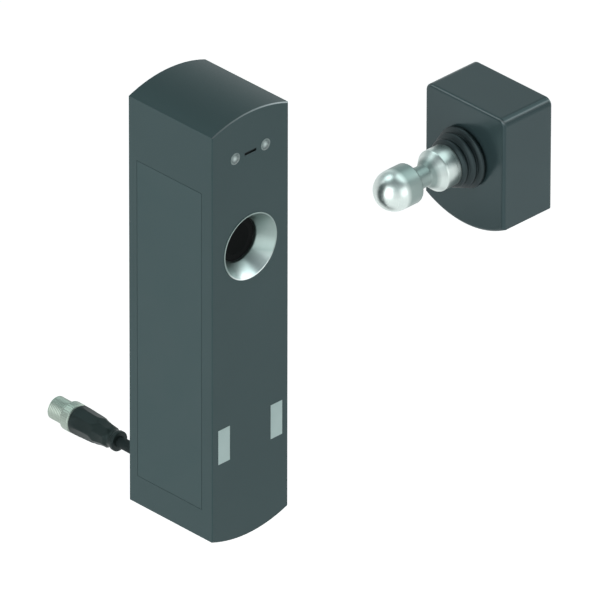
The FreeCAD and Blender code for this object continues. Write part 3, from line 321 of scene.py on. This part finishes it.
def finished_mesh(name, shell, sharp):
    """An object of a bmesh, smooth but for edges sharper than that many degrees."""
    bmesh.ops.recalc_face_normals(shell, faces=shell.faces)
    mesh = bpy.data.meshes.new(name)
    shell.to_mesh(mesh)
    shell.free()
    mesh.shade_smooth()
    mesh.set_sharp_from_angle(angle=math.radians(sharp))
    made = bpy.data.objects.new(name, mesh)
    bpy.context.scene.collection.objects.link(made)
    return made


lead_end = mm(*lead_route[-1])
plug_way = (lead_end - mm(*lead_route[-2])).normalized()
plug_start = lead_end - plug_way * 0.002
grip_long = 28.6
grip_shoulder = 12.5
flats = 8


def grip_shape(along, radius, angle):
    """The round grip, cut by flats that run out at both of their ends."""
    for low, high, deep, turn in ((13.0, 27.6, 0.62, 0.0), (5.4, 14.5, 0.7, 0.5)):
        if low < along < high:
            swell = math.sin(math.pi * (along - low) / (high - low)) ** 0.7
            sector = 2 * math.pi / flats
            off = (angle / sector + turn) % 1 - 0.5
            radius = min(radius, (radius - deep * swell) / math.cos(off * sector))
    return radius


grip_corners = [
    (0, 2.9, 0),
    (0, 5.2, 0.6),
    (2.3, 5.2, 0.5),
    (2.9, 4.45, 0.4),
    (4.9, 4.5, 0.6),
    (6.4, 5.8, 0.8),
    (grip_shoulder, 6.65, 3.0),
    (20.0, 7.2, 3.0),
    (grip_long - 0.5, 7.4, 0.4),
    (grip_long, 7.0, 0.3),
    (grip_long, 2.3, 0),
    (2.0, 2.3, 0),
    (2.0, 2.9, 0),
]
grip_line = []
for first, second in zip(rounded(grip_corners), rounded(grip_corners)[1:]):
    pieces = max(1, round((second - first).length / 0.5)) if first.y > 3 < second.y else 1
    grip_line += [first.lerp(second, step / pieces) for step in range(pieces)]
grip_line.append(Vector(grip_corners[-1][:2]))
grip = turned("moulded_grip", plug_start, plug_way, grip_line, ring=True, shape=grip_shape, sharp=50)
grip_plastic = moulded(
    "grip_plastic",
    (0.013, 0.020, 0.019),
    (0.019, 0.028, 0.026),
    0.36,
    1500,
    0.00003,
    Specular_IOR_Level=0.2,
    Specular_Tint=cool,
)
dressed(grip, grip_plastic, "switch", "plug_plastic", "plug_grip")


# The coupling nut. Nickel-plated brass, turned in one piece: a collar with a straight knurl, and a
# sleeve with an M12 thread of 1 mm pitch. It spins on the contact carrier.
# the grey of the painted shade on parts of the polished steel
painted_shade_grey = (0.25, 0.315, 0.30)


def turned_metal(name, way, dark, light, roughness, lines, depth, painted_shade=None):
    """Bright metal with fine rings from the lathe, which lie across the way that it was turned on.

    The last argument takes the place on the piece and gives 1 where shade is painted on the metal as grey, 0
    where it is left bright.
    """
    material, place = start_finish(name)
    rings = place.along(way).noise(lines, 2)
    cloud = place.noise(45)
    shade = (rings.between(0.35, 0.65) * 0.5 + cloud.between(0.3, 0.7) * 0.5).blended(dark, light)
    rough = rings.between(0.3, 0.7) * 0.06 + (cloud.between(0.35, 0.75) * 0.05 + roughness)
    if painted_shade:
        # painted shade: the metal is greyed where the mask gives 1
        painted_shade_amount = painted_shade(place)
        shade = painted_shade_amount.blended(shade, painted_shade_grey)
        rough = rough + painted_shade_amount * 0.08
    return end_finish(
        material,
        place,
        Base_Color=shade,
        Metallic=1.0,
        Roughness=rough,
        Normal=rings.raised(0.25, depth),
    )


collar_radius = 7.5
collar_start = 28.7
collar_end = 34.2
sleeve_end = 44.0
thread_pitch = 1.0
thread_deep = 0.2
knurls = 40
knurl_deep = 0.1


def nut_shape(along, radius, angle):
    """Knurl the collar, and cut the thread into the sleeve with a run-out at either end."""
    if radius > 6.5 and collar_start < along < collar_end:
        return radius - knurl_deep / 2 * (1 + math.cos(knurls * angle))
    if radius > 5.5 and collar_end + 0.5 < along < sleeve_end - 0.2:
        turn = (along / thread_pitch + angle / (2 * math.pi)) % 1
        run_out = min(1, (along - collar_end - 0.5) / thread_pitch, (sleeve_end - along) / thread_pitch)
        return radius - thread_deep * run_out * abs(2 * turn - 1)
    return radius


nut_corners = [
    (collar_start, 4.58, 0),
    (collar_start, collar_radius - 0.6, 0),
    (collar_start + 0.5, collar_radius, 0.2),
    (collar_end - 0.5, collar_radius, 0.2),
    (collar_end, collar_radius - 0.6, 0.1),
    (collar_end, 5.7, 0),
    (collar_end + 0.5, 5.7, 0),
    (collar_end + 0.6, 6.0, 0),
    (sleeve_end - 0.3, 6.0, 0.1),
    (sleeve_end, 5.6, 0.1),
    (sleeve_end, 4.58, 0.1),
]
nut_line = []
for first, second in zip(rounded(nut_corners), rounded(nut_corners)[1:]):
    pieces = max(1, round((second - first).length / 0.125)) if first.y > 5.9 < second.y else 1
    nut_line += [first.lerp(second, step / pieces) for step in range(pieces)]
nut_line.append(Vector(nut_corners[-1][:2]))
nut = turned("coupling_nut_turned", plug_start, plug_way, nut_line, 240, ring=True, shape=nut_shape, sharp=60)
nickel = turned_metal("nickel", plug_way, (0.29, 0.35, 0.305), (0.37, 0.43, 0.38), 0.30, 900, 0.000006)
dressed(nut, nickel, "coupling_nut", "nickel_plate", "plug_nut")

# The contact carrier and its five pins. Black glass-filled plastic pressed into the grip, and
# gold-plated brass pins set in it, hidden inside the sleeve.
carrier_plastic = moulded("carrier_plastic", (0.014, 0.014, 0.015), (0.022, 0.022, 0.023), 0.5, 2000, 0.00006)
finish_nodes(carrier_plastic, "plug_carrier")
gold = turned_metal("gold", plug_way, (0.72, 0.50, 0.18), (0.83, 0.62, 0.27), 0.22, 1500, 0.00001)
finish_nodes(gold, "plug_pins")


# The housing. A die-cast zinc box with shallow curved ends, in a dark grey satin coat. A line of bare
# metal on the chamfer round the front face is partly wear and partly a painted highlight: it lies only on
# the top edges and grows stronger to the right. The slot between the lights is milled, and coloured black
# inside.
bare_metal_and_highlight = (0.50, 0.54, 0.55)
slot_black = (0.004, 0.004, 0.004)
slot_up = 0.0933


def satin_coat(name, dark, light, roughness, bare_and_highlight_strength, peel, **fixed):
    """Sprayed coat on a casting: a slow drift of shade, a fine peel, and a line of bare metal on top edges.

    The bare line is partly wear and partly a painted highlight: it lies only on edges that face up, and is
    fainter on the housing's left end. The slot's mask meets nothing on the block.
    """
    material, place = start_finish(name)
    drift = place.noise(14)
    speck = place.noise(1400)
    facing = place.add("NewGeometry", {}, {}, "True Normal").parts()
    flattest = facing[0].size().sum("MAXIMUM", facing[0].size(), facing[1].size())
    flattest = flattest.sum("MAXIMUM", flattest, facing[2].size())
    # a line of bare metal on chamfers that face up: partly wear, partly a painted highlight
    bare_and_highlight = (1 - flattest).between(0.14, 0.26) * facing[2].between(0.3, 0.5) * bare_and_highlight_strength
    x, y, z = place.parts()
    # painted highlight: the bare line grows stronger towards the right
    bare_and_highlight = bare_and_highlight * (x.between(-0.03, 0.02) * 0.8 + 0.2)
    # the slot's inside is coloured black
    slot = (1 - x.size().between(0.0037, 0.0039)) * (1 - (z - slot_up).size().between(0.0007, 0.0008))
    slot = slot * (1 - y.between(-0.0545, -0.0544))
    shade = (drift.between(0.35, 0.65) * (1 - peel) + speck.between(0.35, 0.65) * peel).blended(dark, light)
    worn_and_highlit = bare_and_highlight.blended(shade, bare_metal_and_highlight)
    return end_finish(
        material,
        place,
        Base_Color=slot.blended(worn_and_highlit, slot_black),
        Metallic=bare_and_highlight * 0.9,
        Roughness=speck.between(0.3, 0.7) * peel * 0.25 + (roughness - bare_and_highlight * 0.1),
        Normal=(speck + place.noise(260) * 0.6).raised(peel / 2, 0.00006),
        **fixed,
    )


# the fifth value draws the bare metal line on the housing's top edges, partly wear and partly a painted
# highlight
housing_coat = satin_coat(
    "housing_coat",
    (0.027, 0.051, 0.053),
    (0.032, 0.058, 0.060),
    0.46,
    0.6,
    0.22,
    Specular_IOR_Level=0.42,
    Specular_Tint=cool,
)
finish_nodes(housing_coat, "housing")

# The side panel. A blank dark film of the same grey, let into the housing's left side with a thin
# line of shadow round it.
panel_film = moulded(
    "panel_film", (0.028, 0.053, 0.055), (0.032, 0.059, 0.061), 0.5, 1600, 0.00003, Specular_Tint=cool
)
finish_nodes(panel_film, "side_panel")

# The windows. Two pale grey plastic inserts, ground flush with the front face.
window_plastic = moulded(
    "window_plastic", (0.47, 0.62, 0.60), (0.53, 0.68, 0.66), 0.3, 900, 0.00002
)
finish_nodes(window_plastic, "window_left", "window_right")


# The status lights. Two milky lenses with a low dome, pressed through the wall from behind until
# the flange seats. Each has a painted highlight, a pale spot up and to the left of its middle.
front = -56.3
inner_front = -52.3
lights_up = 93.3
light_apart = 9.9
light_radius = 3.0
light_proud = 0.5
dome = (light_radius**2 + light_proud**2) / (2 * light_proud)
lens_deep = 4.0
flange_thick = 1.0
flange_wide = 1.0
# where the painted highlight sits on a lens, up and to the left of its middle
painted_highlight_aside = mm(-0.7, 0, 0.5)
into = Vector((0, 1, 0))


def lens_finish(name, middle):
    """Smoky plastic: a painted highlight as a pale spot off its middle, and a slightly paler rim."""
    material, place = start_finish(name)
    from_middle, from_painted_highlight = (
        place.add("VectorMath", {"operation": "DISTANCE"}, {0: place, 1: point}, "Value")
        for point in (middle, middle + painted_highlight_aside)
    )
    # painted highlight: a pale spot off the lens's middle
    painted_highlight = 1 - from_painted_highlight.between(0.0004, 0.0018)
    rim = from_middle.between(0.0022, 0.0029)
    cloud = place.noise(700)
    smoky = (rim * 0.6 + cloud.between(0.3, 0.7) * 0.4).blended((0.11, 0.16, 0.16), (0.26, 0.34, 0.33))
    return end_finish(
        material,
        place,
        Base_Color=painted_highlight.blended(smoky, (0.62, 0.74, 0.72)),
        Roughness=cloud * 0.1 + 0.22,
        Normal=cloud.raised(0.3, 0.00012),
    )


for side, name in ((-1, "left"), (1, "right")):
    lens_line = []
    steps = 8
    reach = math.asin(light_radius / dome)
    for step in range(steps):
        turn = reach * step / steps
        lens_line.append(Vector((dome * (1 - math.cos(turn)), dome * math.sin(turn))))
    lens_line += rounded(
        [
            (light_proud, light_radius, 0),
            (lens_deep + light_proud, light_radius, 0),
            (lens_deep + light_proud, light_radius + flange_wide, 0),
            (lens_deep + flange_thick + light_proud, light_radius + flange_wide, 0),
            (lens_deep + flange_thick + light_proud, 0, 0),
        ]
    )
    middle = mm(side * light_apart, front - light_proud, lights_up)
    lens = turned(f"status_lens_{name}", middle, into, lens_line, 48)
    dressed(lens, lens_finish(f"lens_{name}", middle), "switch", "light_lens", f"status_light_{name}")

# The light board behind the lenses, with its two light sources and its screws.
mask_green = ((0.010, 0.075, 0.028), (0.035, 0.15, 0.06))


def printed_board(name):
    """Green solder mask over copper: a grid of straight tracks stands through it a shade paler."""
    material, place = start_finish(name)
    x, _, z = place.parts()
    tracks = x.add("TexWave", {"bands_direction": "X"}, {"Vector": place, "Scale": 190.0})
    rails = x.add("TexWave", {"bands_direction": "Z"}, {"Vector": place, "Scale": 130.0})
    copper = tracks.between(0.75, 0.9).sum("MAXIMUM", tracks.between(0.75, 0.9), rails.between(0.8, 0.92))
    return end_finish(
        material,
        place,
        Base_Color=(copper * (place.noise(60).between(0.45, 0.55))).blended(*mask_green),
        Roughness=copper * 0.1 + 0.3,
        Normal=copper.raised(0.5, 0.00004),
    )


solder_mask = printed_board("solder_mask")
finish_nodes(solder_mask, "light_board", "circuit_board")
source_plastic = moulded("source_plastic", (0.30, 0.32, 0.30), (0.38, 0.40, 0.37), 0.45, 1500, 0.00005)
finish_nodes(source_plastic, "light_sources", "terminal_block")


# The entry funnel. Stainless steel turned and polished bright: a thin lip that stands on the face,
# a cone that guides the ball, and a nose that opens to the receiver. A ring behind the wall holds it.
axis_up = 42.1
mouth_radius = 16.7
lip_wide = 0.55
lip_proud = 0.3
throat_radius = 11.3
nose_end = -46.8
funnel_corners = [
    (front - lip_proud, mouth_radius, 0.15),
    (front - lip_proud, mouth_radius + lip_wide, 0.2),
    (inner_front + 1.8, mouth_radius + lip_wide, 0),
    (inner_front + 1.8, throat_radius + 2.7, 0),
    (nose_end, throat_radius + 2.7, 0),
    (nose_end, throat_radius, 0),
    (front + 8.0, throat_radius, 0.6),
]
funnel = turned(
    "polished_funnel", mm(0, 0, axis_up), into, rounded(funnel_corners), 160, ring=True, sharp=30
)


def funnel_painted_shade(place):
    """Painted shade over all of the cone but its foot, which is left bright. Heights in metres."""
    return place.parts()[2].between(0.0255, 0.034)


# the last argument paints shade on the cone's upper part
funnel_steel = turned_metal(
    "funnel_steel", into, (0.76, 0.84, 0.83), (0.84, 0.92, 0.91), 0.24, 1600, 0.000003, funnel_painted_shade
)
dressed(funnel, funnel_steel, "switch", "polished_steel", "entry_funnel")


# The screws, rods, rings and the lock's moving steel. Mild steel, zinc plated and passivated, with
# the faint cloudy bloom of the plating.
def zinc_plate(name, dark, light):
    """Plated steel: cool and warm clouds, and a fine crystal grain."""
    material, place = start_finish(name)
    cloud = place.noise(160)
    return end_finish(
        material,
        place,
        Base_Color=cloud.between(0.35, 0.65).blended(dark, light),
        Metallic=1.0,
        Roughness=cloud.between(0.3, 0.7) * 0.12 + 0.3,
        Normal=place.noise(2600).raised(0.2, 0.00004),
    )


zinc = zinc_plate("zinc", (0.50, 0.51, 0.52), (0.64, 0.64, 0.61))
finish_nodes(
    zinc,
    "funnel_ring",
    "receiver_screws",
    "guide_rods",
    "lock_blade",
    "armature",
    "link_pin",
    "solenoid_yoke",
    "light_board_screws",
    "board_screws",
)


# The cover's six screws and, further on, the block's four. Countersunk M3 screws of plated steel
# with a hexagon socket, flush with the face that they hold.
socket_radius = 1.3
socket_floor = 1.2
cover_screw_places = [(x, z) for x in (-17.3, 17.3) for z in (-103.6, 6.0, 103.6)]
outward = Vector((0, -1, 0))


def socket_shape(along, radius, angle):
    """Six flats on the socket's wall, which is the part near the axis and the head's face."""
    if radius > socket_radius or along > socket_floor:
        return radius
    return radius / math.cos((angle + math.pi / 6) % (math.pi / 3) - math.pi / 6)


screw_line = [
    Vector(corner)
    for corner in (
        (1.3, 0),
        (1.05, 1.0),
        (0.12, 1.0),
        (0, 1.12),
        (0, 2.72),
        (0.08, 2.76),
        (1.3, 1.5),
        (11.6, 1.5),
        (12, 1.1),
        (12, 0),
    )
]
for number, (x, z) in enumerate(cover_screw_places):
    screw = turned(
        f"cover_screw_{number}", mm(x, 0, z), outward, screw_line, 36, shape=socket_shape, sharp=30
    )
    dressed(screw, zinc, "switch", "plain_steel", "cover_screws")


# The receiver block, the rear cover and the capacitors' cans. Aluminium with straight fine marks
# that run up and down it. The cover's gasket and the ejector's pad are black rubber.
def milled(name, dark, light):
    """Milled aluminium: fine upright cutter lines."""
    material, place = start_finish(name)
    x, y, z = place.parts()
    lines = (x + y).noise(1300, 1)
    return end_finish(
        material,
        place,
        Base_Color=lines.between(0.35, 0.65).blended(dark, light),
        Metallic=1.0,
        Roughness=lines.between(0.3, 0.7) * 0.12 + 0.36,
        Normal=lines.raised(0.3, 0.00003),
    )


aluminium = milled("aluminium", (0.31, 0.325, 0.33), (0.40, 0.415, 0.42))
finish_nodes(aluminium, "receiver_block", "rear_cover", "capacitors")
seal_rubber = moulded("seal_rubber", (0.014, 0.014, 0.015), (0.024, 0.024, 0.025), 0.66, 1400, 0.0001)
finish_nodes(seal_rubber, "cover_gasket")
pad_rubber = moulded(
    "pad_rubber", (0.004, 0.005, 0.005), (0.007, 0.008, 0.008), 0.8, 1400, 0.0001, Specular_IOR_Level=0.1
)
finish_nodes(pad_rubber, "ejector_pad")

# The ejector, the solenoid's bobbin, the relays, the two position switches, the coded tag and the
# stud's pivot seat. Black engineering plastic, moulded with a fine spark-eroded grain.
black_plastic = moulded(
    "black_plastic",
    (0.004, 0.005, 0.005),
    (0.007, 0.008, 0.008),
    0.8,
    1700,
    0.00008,
    Specular_IOR_Level=0.15,
)
finish_nodes(
    black_plastic,
    "ejector",
    "solenoid_bobbin",
    "relays",
    "ejector_switch",
    "lock_switch",
    "coded_tag",
    "pivot_seat",
)


# The springs. Bright drawn wire, coiled cold, with fine lines from the drawing. Two press the ejector
# out, one presses the lock down, and one centres the stud.
def drawn_wire(name):
    """Bright wire with long scratches round its coils."""
    material, place = start_finish(name)
    drawn_out = place.add("VectorMath", {"operation": "MULTIPLY"}, {0: place, 1: (1.0, 0.2, 1.0)})
    lines = drawn_out.noise(1500, 3)
    return end_finish(
        material,
        place,
        Base_Color=lines.between(0.35, 0.65).blended((0.52, 0.53, 0.54), (0.66, 0.67, 0.68)),
        Metallic=1.0,
        Roughness=lines.between(0.3, 0.7) * 0.1 + 0.22,
        Normal=lines.raised(0.2, 0.00002),
    )


def coil(name, start, way, radius, wire, long, turns):
    """A compression spring, wound round the line from start along way, with a closed turn at each end.

    radius is its outside, and wire the wire's thickness, all in millimetres.
    """
    across = way.orthogonal().normalized()
    up = way.cross(across)
    open_pitch = (long - 3 * wire) / (turns - 2)
    shell = bmesh.new()
    rows = []
    steps_of_turn = 28
    sides = 10
    for step in range(round(turns * steps_of_turn) + 1):
        turn = step / steps_of_turn
        closed = min(turn, 1) + max(0, turn - (turns - 1))
        along = wire / 2 + closed * wire + min(max(turn - 1, 0), turns - 2) * open_pitch
        angle = 2 * math.pi * turn
        out = across * math.cos(angle) + up * math.sin(angle)
        centre = start + (out * (radius - wire / 2) + way * along) / 1000
        rows.append(
            [
                shell.verts.new(centre + (out * math.cos(side) + way * math.sin(side)) * wire / 2000)
                for side in (2 * math.pi * number / sides for number in range(sides))
            ]
        )
    for row, after in zip(rows, rows[1:]):
        for number in range(sides):
            following = (number + 1) % sides
            shell.faces.new((row[number], row[following], after[following], after[number]))
    shell.faces.new(rows[0][::-1])
    shell.faces.new(rows[-1])
    return finished_mesh(name, shell, 50)


spring_wire = drawn_wire("spring_wire")
# how much of a spring is left at the end of its travel, less a hair so that it doesn't touch
ejector_spring_long = 38.5
spring_seat = -10.3
ejector_back = spring_seat - ejector_spring_long
for name, x, z in (("left", -15.9, 58.0), ("right", 15.9, 26.2)):
    spring_start = mm(x, ejector_back, z)
    spring = coil(f"ejector_coil_{name}", spring_start, into, 3.1, 0.7, ejector_spring_long, 9)
    dressed(spring, spring_wire, "switch", "spring_steel", f"ejector_spring_{name}")
    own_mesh(spring)
lock_spring_long = 11.0
blade_middle = -39.75
yoke_low = -46.45
upward = Vector((0, 0, 1))
lock_start = mm(0, blade_middle, yoke_low - lock_spring_long)
lock_coil = coil("lock_coil", lock_start, upward, 4.7, 0.6, lock_spring_long, 4.5)
dressed(lock_coil, spring_wire, "switch", "spring_steel", "lock_spring")
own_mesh(lock_coil)
stud_y = -65.8
sideways = Vector((1, 0, 0))
seat_end = mm(141.1, stud_y, axis_up)
centring_coil = coil("centring_coil", seat_end, sideways, 7.5, 0.9, 9.28, 4)
centring_coil.data.materials.append(spring_wire)
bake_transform(centring_coil)
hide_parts("centring_spring")


# The solenoid's winding and the reader coil. Enamelled copper wire, laid turn beside turn.
def winding(name):
    """Copper turns 0.4 mm apart, dark between them."""
    material, place = start_finish(name)
    turns = place.add("TexWave", {"bands_direction": "Z"}, {"Vector": place, "Scale": 125.0})
    return end_finish(
        material,
        place,
        Base_Color=turns.between(0.1, 0.8).blended((0.14, 0.045, 0.018), (0.55, 0.24, 0.11)),
        Metallic=0.8,
        Roughness=turns * 0.1 + 0.28,
        Normal=turns.raised(0.8, 0.0001),
    )


copper = winding("copper")
finish_nodes(copper, "solenoid_coil", "reader_coil")

# The actuator's block, the plate that closes its back, and the plate's four screws. Block and plate
# are die-cast, in the same dark grey as the housing but with a glossy coat, so that edges catch light.
# the fifth value draws the bare metal line on the block's top edges, partly wear and partly a painted
# highlight
block_coat = satin_coat(
    "block_coat",
    (0.032, 0.056, 0.060),
    (0.037, 0.063, 0.067),
    0.2,
    0.3,
    0.03,
    Specular_IOR_Level=0.4,
    Specular_Tint=cool,
)
finish_nodes(block_coat, "actuator_block", "actuator_plate")
tail_zinc = zinc_plate("tail_zinc", (0.44, 0.45, 0.46), (0.56, 0.56, 0.54))
finish_nodes(tail_zinc, "tail_washer", "tail_nut")
block_back = 164.4
plate_screw_places = [(y, z) for y in (-85.3, -46.3) for z in (19.0, 64.5)]
for number, (y, z) in enumerate(plate_screw_places):
    screw_head = mm(block_back, y, z)
    screw = turned(
        f"plate_screw_{number}", screw_head, -sideways, screw_line, 36, shape=socket_shape, sharp=30
    )
    dressed(screw, tail_zinc, "actuator", "plain_steel", "plate_screws")

# The ball stud. One piece of stainless steel, turned and polished: a ball head with a short
# straight part, a slim neck, a cone, a collar, and the shank and ball that it tilts on.
ball_x = 85.5
pivot_x = 137.1
ball_radius = 10.3
straight = 9.7
neck_radius = 5.5
stud_collar = 10.5
pivot_radius = 7.0
shank_radius = 4.0
shank_end = pivot_x - ball_x + 18.0
stud_line = [
    Vector((-ball_radius * math.cos(turn), ball_radius * math.sin(turn)))
    for turn in (math.pi / 2 * step / 24 for step in range(24))
]
stud_line += rounded(
    [
        (0, ball_radius, 0),
        (straight, ball_radius, 0.9),
        (straight, neck_radius, 0.3),
        (20.0, neck_radius, 0.4),
        (25.9, stud_collar, 0.5),
        (34.8, stud_collar, 0.6),
        (34.8, neck_radius, 0),
    ]
)
first_turn = math.pi - math.asin(neck_radius / pivot_radius)
last_turn = math.asin(shank_radius / pivot_radius)
for step in range(17):
    turn = first_turn + (last_turn - first_turn) * step / 16
    stud_line.append(
        Vector((pivot_x - ball_x + pivot_radius * math.cos(turn), pivot_radius * math.sin(turn)))
    )
stud_line += rounded([(shank_end, shank_radius, 0.5), (shank_end, 0, 0)])
stud = turned("polished_stud", mm(ball_x, stud_y, axis_up), sideways, stud_line, 160, sharp=30)


def stud_painted_shade(place):
    """Painted shade: the straight part behind the ball and the neck greyed, and the cone a little. In metres.
    """
    x = place.parts()[0]
    neck = x.between(0.0845, 0.0875) * (1 - x.between(0.107, 0.109))
    cone = x.between(0.107, 0.109) * (1 - x.between(0.113, 0.115))
    return neck + cone * 0.15


# the last argument paints shade on the straight part, the neck and a little of the cone
stud_steel = turned_metal(
    "stud_steel", sideways, (0.58, 0.655, 0.63), (0.66, 0.735, 0.71), 0.25, 1600, 0.000004, stud_painted_shade
)
dressed(stud, stud_steel, "stud", "polished_steel", "ball_stud")

# The boot. Black rubber bellows with three folds that widen towards the block; its small end grips
# the stud's collar and its foot is held on the block.
boot_start = 34.8
boot_foot = 46.6
boot_grip = 5.8
boot_corners = [
    (boot_start, boot_grip, 0),
    (boot_start, 10.3, 0.5),
    (boot_start + 1.0, 12.3, 0.7),
    (boot_start + 2.5, 12.3, 0.7),
    (boot_start + 3.8, 11.0, 0.7),
    (boot_start + 5.1, 14.0, 0.8),
    (boot_start + 6.6, 14.0, 0.8),
    (boot_start + 7.9, 12.4, 0.7),
    (boot_start + 9.1, 15.6, 0.8),
    (boot_start + 10.7, 15.6, 0.8),
    (boot_start + 11.5, 13.7, 0.3),
    (boot_foot, 13.6, 0),
    (boot_foot, 11.2, 0),
    (boot_start + 1.6, 8.7, 0),
    (boot_start + 1.6, boot_grip, 0),
]
boot = turned(
    "ribbed_boot", mm(ball_x, stud_y, axis_up), sideways, rounded(boot_corners), 128, ring=True, sharp=60
)
boot_rubber = moulded(
    "boot_rubber", (0.005, 0.008, 0.009), (0.009, 0.013, 0.014), 0.38, 1500, 0.00005, Specular_Tint=cool
)
boot.data.materials.append(boot_rubber)
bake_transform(boot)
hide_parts("rubber_boot")


# The floor. A plain white table well below the switch, which shows as pure white to the camera and
# in the polished steel. Right under the switch it is painted greyer, as a wide soft painted shadow.
def seen(wire):
    """1 for a ray from the camera, a reflection or a glass, else 0."""
    path = wire.add("LightPath", {}, {}).socket.node.outputs
    reflected = wire.sum("MAXIMUM", Wire(path["Is Camera Ray"]), Wire(path["Is Glossy Ray"]))
    return wire.sum("MAXIMUM", reflected, Wire(path["Is Transmission Ray"]))


floor_down = 0.3
floor_half = 60.0
floor_shell = bmesh.new()
bmesh.ops.create_grid(floor_shell, x_segments=1, y_segments=1, size=floor_half)
floor = finished_mesh("floor", floor_shell, 30)
floor.location.z = cad_box[0][2] - floor_down
floor_paint, floor_place = start_finish("floor_paint")
from_foot = floor_place.add("VectorMath", {"operation": "LENGTH"}, {0: floor_place}, "Value")
# painted shadow: the floor darkens towards its middle, right under the switch
outside_painted_shadow = from_foot.between(0.02, 0.18) * 0.7 + 0.3
pale = floor_place.add("BsdfDiffuse", {}, {"Color": outside_painted_shadow.blended((0, 0, 0), (0.8, 0.8, 0.8))})
glow = floor_place.add("Emission", {}, {"Color": (1, 1, 1, 1), "Strength": seen(floor_place) * outside_painted_shadow * 0.75})
both = floor_place.add("AddShader", {}, {0: pale, 1: glow})
floor_place.add("OutputMaterial", {}, {"Surface": both})
floor.data.materials.append(floor_paint)

# The room. White walls that fade to grey overhead, as in the photograph, where the top of the
# housing is its darkest side. The room's light on the object is a third of what the camera sees.
world = bpy.data.worlds.new("room")
world.use_nodes = True
world.node_tree.nodes.clear()
sky = Wire(world.node_tree.nodes.new("ShaderNodeTexCoord").outputs["Generated"])
height = sky.parts()[2]
shade = height.add(
    "ValToRGB",
    {"stops": [(0.05, (1, 1, 1, 1)), (0.4, (0.5, 0.56, 0.57, 1)), (0.9, (0.2, 0.23, 0.24, 1))]},
    {0: height},
)
# Four lit panels, there for the steel and the glossy coats to reflect. They cast hardly any light.
# Each has the way to it, the soft edge (the cosines of the widest and the narrowest angle), its light.
lit_panels = {
    "right": ((0.6, -0.12, 0.79), (0.86, 0.96), 0.7),
    "back": ((0.64, 0.62, 0.45), (0.9, 0.97), 0.2),
    "over": ((-0.12, 0.46, 0.88), (0.94, 0.98), 1.3),
    "front": ((-0.6, -0.62, 0.5), (0.7, 0.95), 0.1),
}
panels = sum(sky.along(way).between(*edge) * light for way, edge, light in lit_panels.values())
panel_shade = (0.86, 1, 1)
shade = panels.between(0, 0.5).blended(shade, panel_shade)
cast_light = 0.35
strength = seen(sky) * (panels + (1 - cast_light)) + cast_light
room = sky.add("Background", {}, {"Color": shade, "Strength": strength})
sky.add("OutputWorld", {}, {"Surface": room})
bpy.context.scene.world = world


# The lamps. A large soft box on the left lights the long side and the block's front, and a weaker one
# in front lights the face. Two dim ones, to the right and behind, only draw lines on edges and steel.
def soft_box(name, place, wide, tall, watts):
    """A lamp of that many metres and watts, placed from the switch's middle and turned to it."""
    lamp = bpy.data.lights.new(name, "AREA")
    lamp.shape = "RECTANGLE"
    lamp.size, lamp.size_y = wide, tall
    lamp.energy = watts
    stand = bpy.data.objects.new(name, lamp)
    middle = (Vector(cad_box[0]) + Vector(cad_box[1])) / 2
    stand.location = middle + Vector(place)
    stand.rotation_mode = "QUATERNION"
    stand.rotation_quaternion = (middle - stand.location).to_track_quat("-Z", "Y")
    bpy.context.scene.collection.objects.link(stand)


soft_box("soft_box_left", (-1.5, -0.25, 0.42), 1.7, 1.6, 15.2)
soft_box("soft_box_front", (0.35, -1.6, 0.3), 1.2, 1.3, 5)
soft_box("soft_box_right", (1.35, -0.5, 0.6), 0.8, 1.0, 4)
soft_box("soft_box_back", (-0.75, 0.9, 0.9), 0.5, 0.5, 1.0)
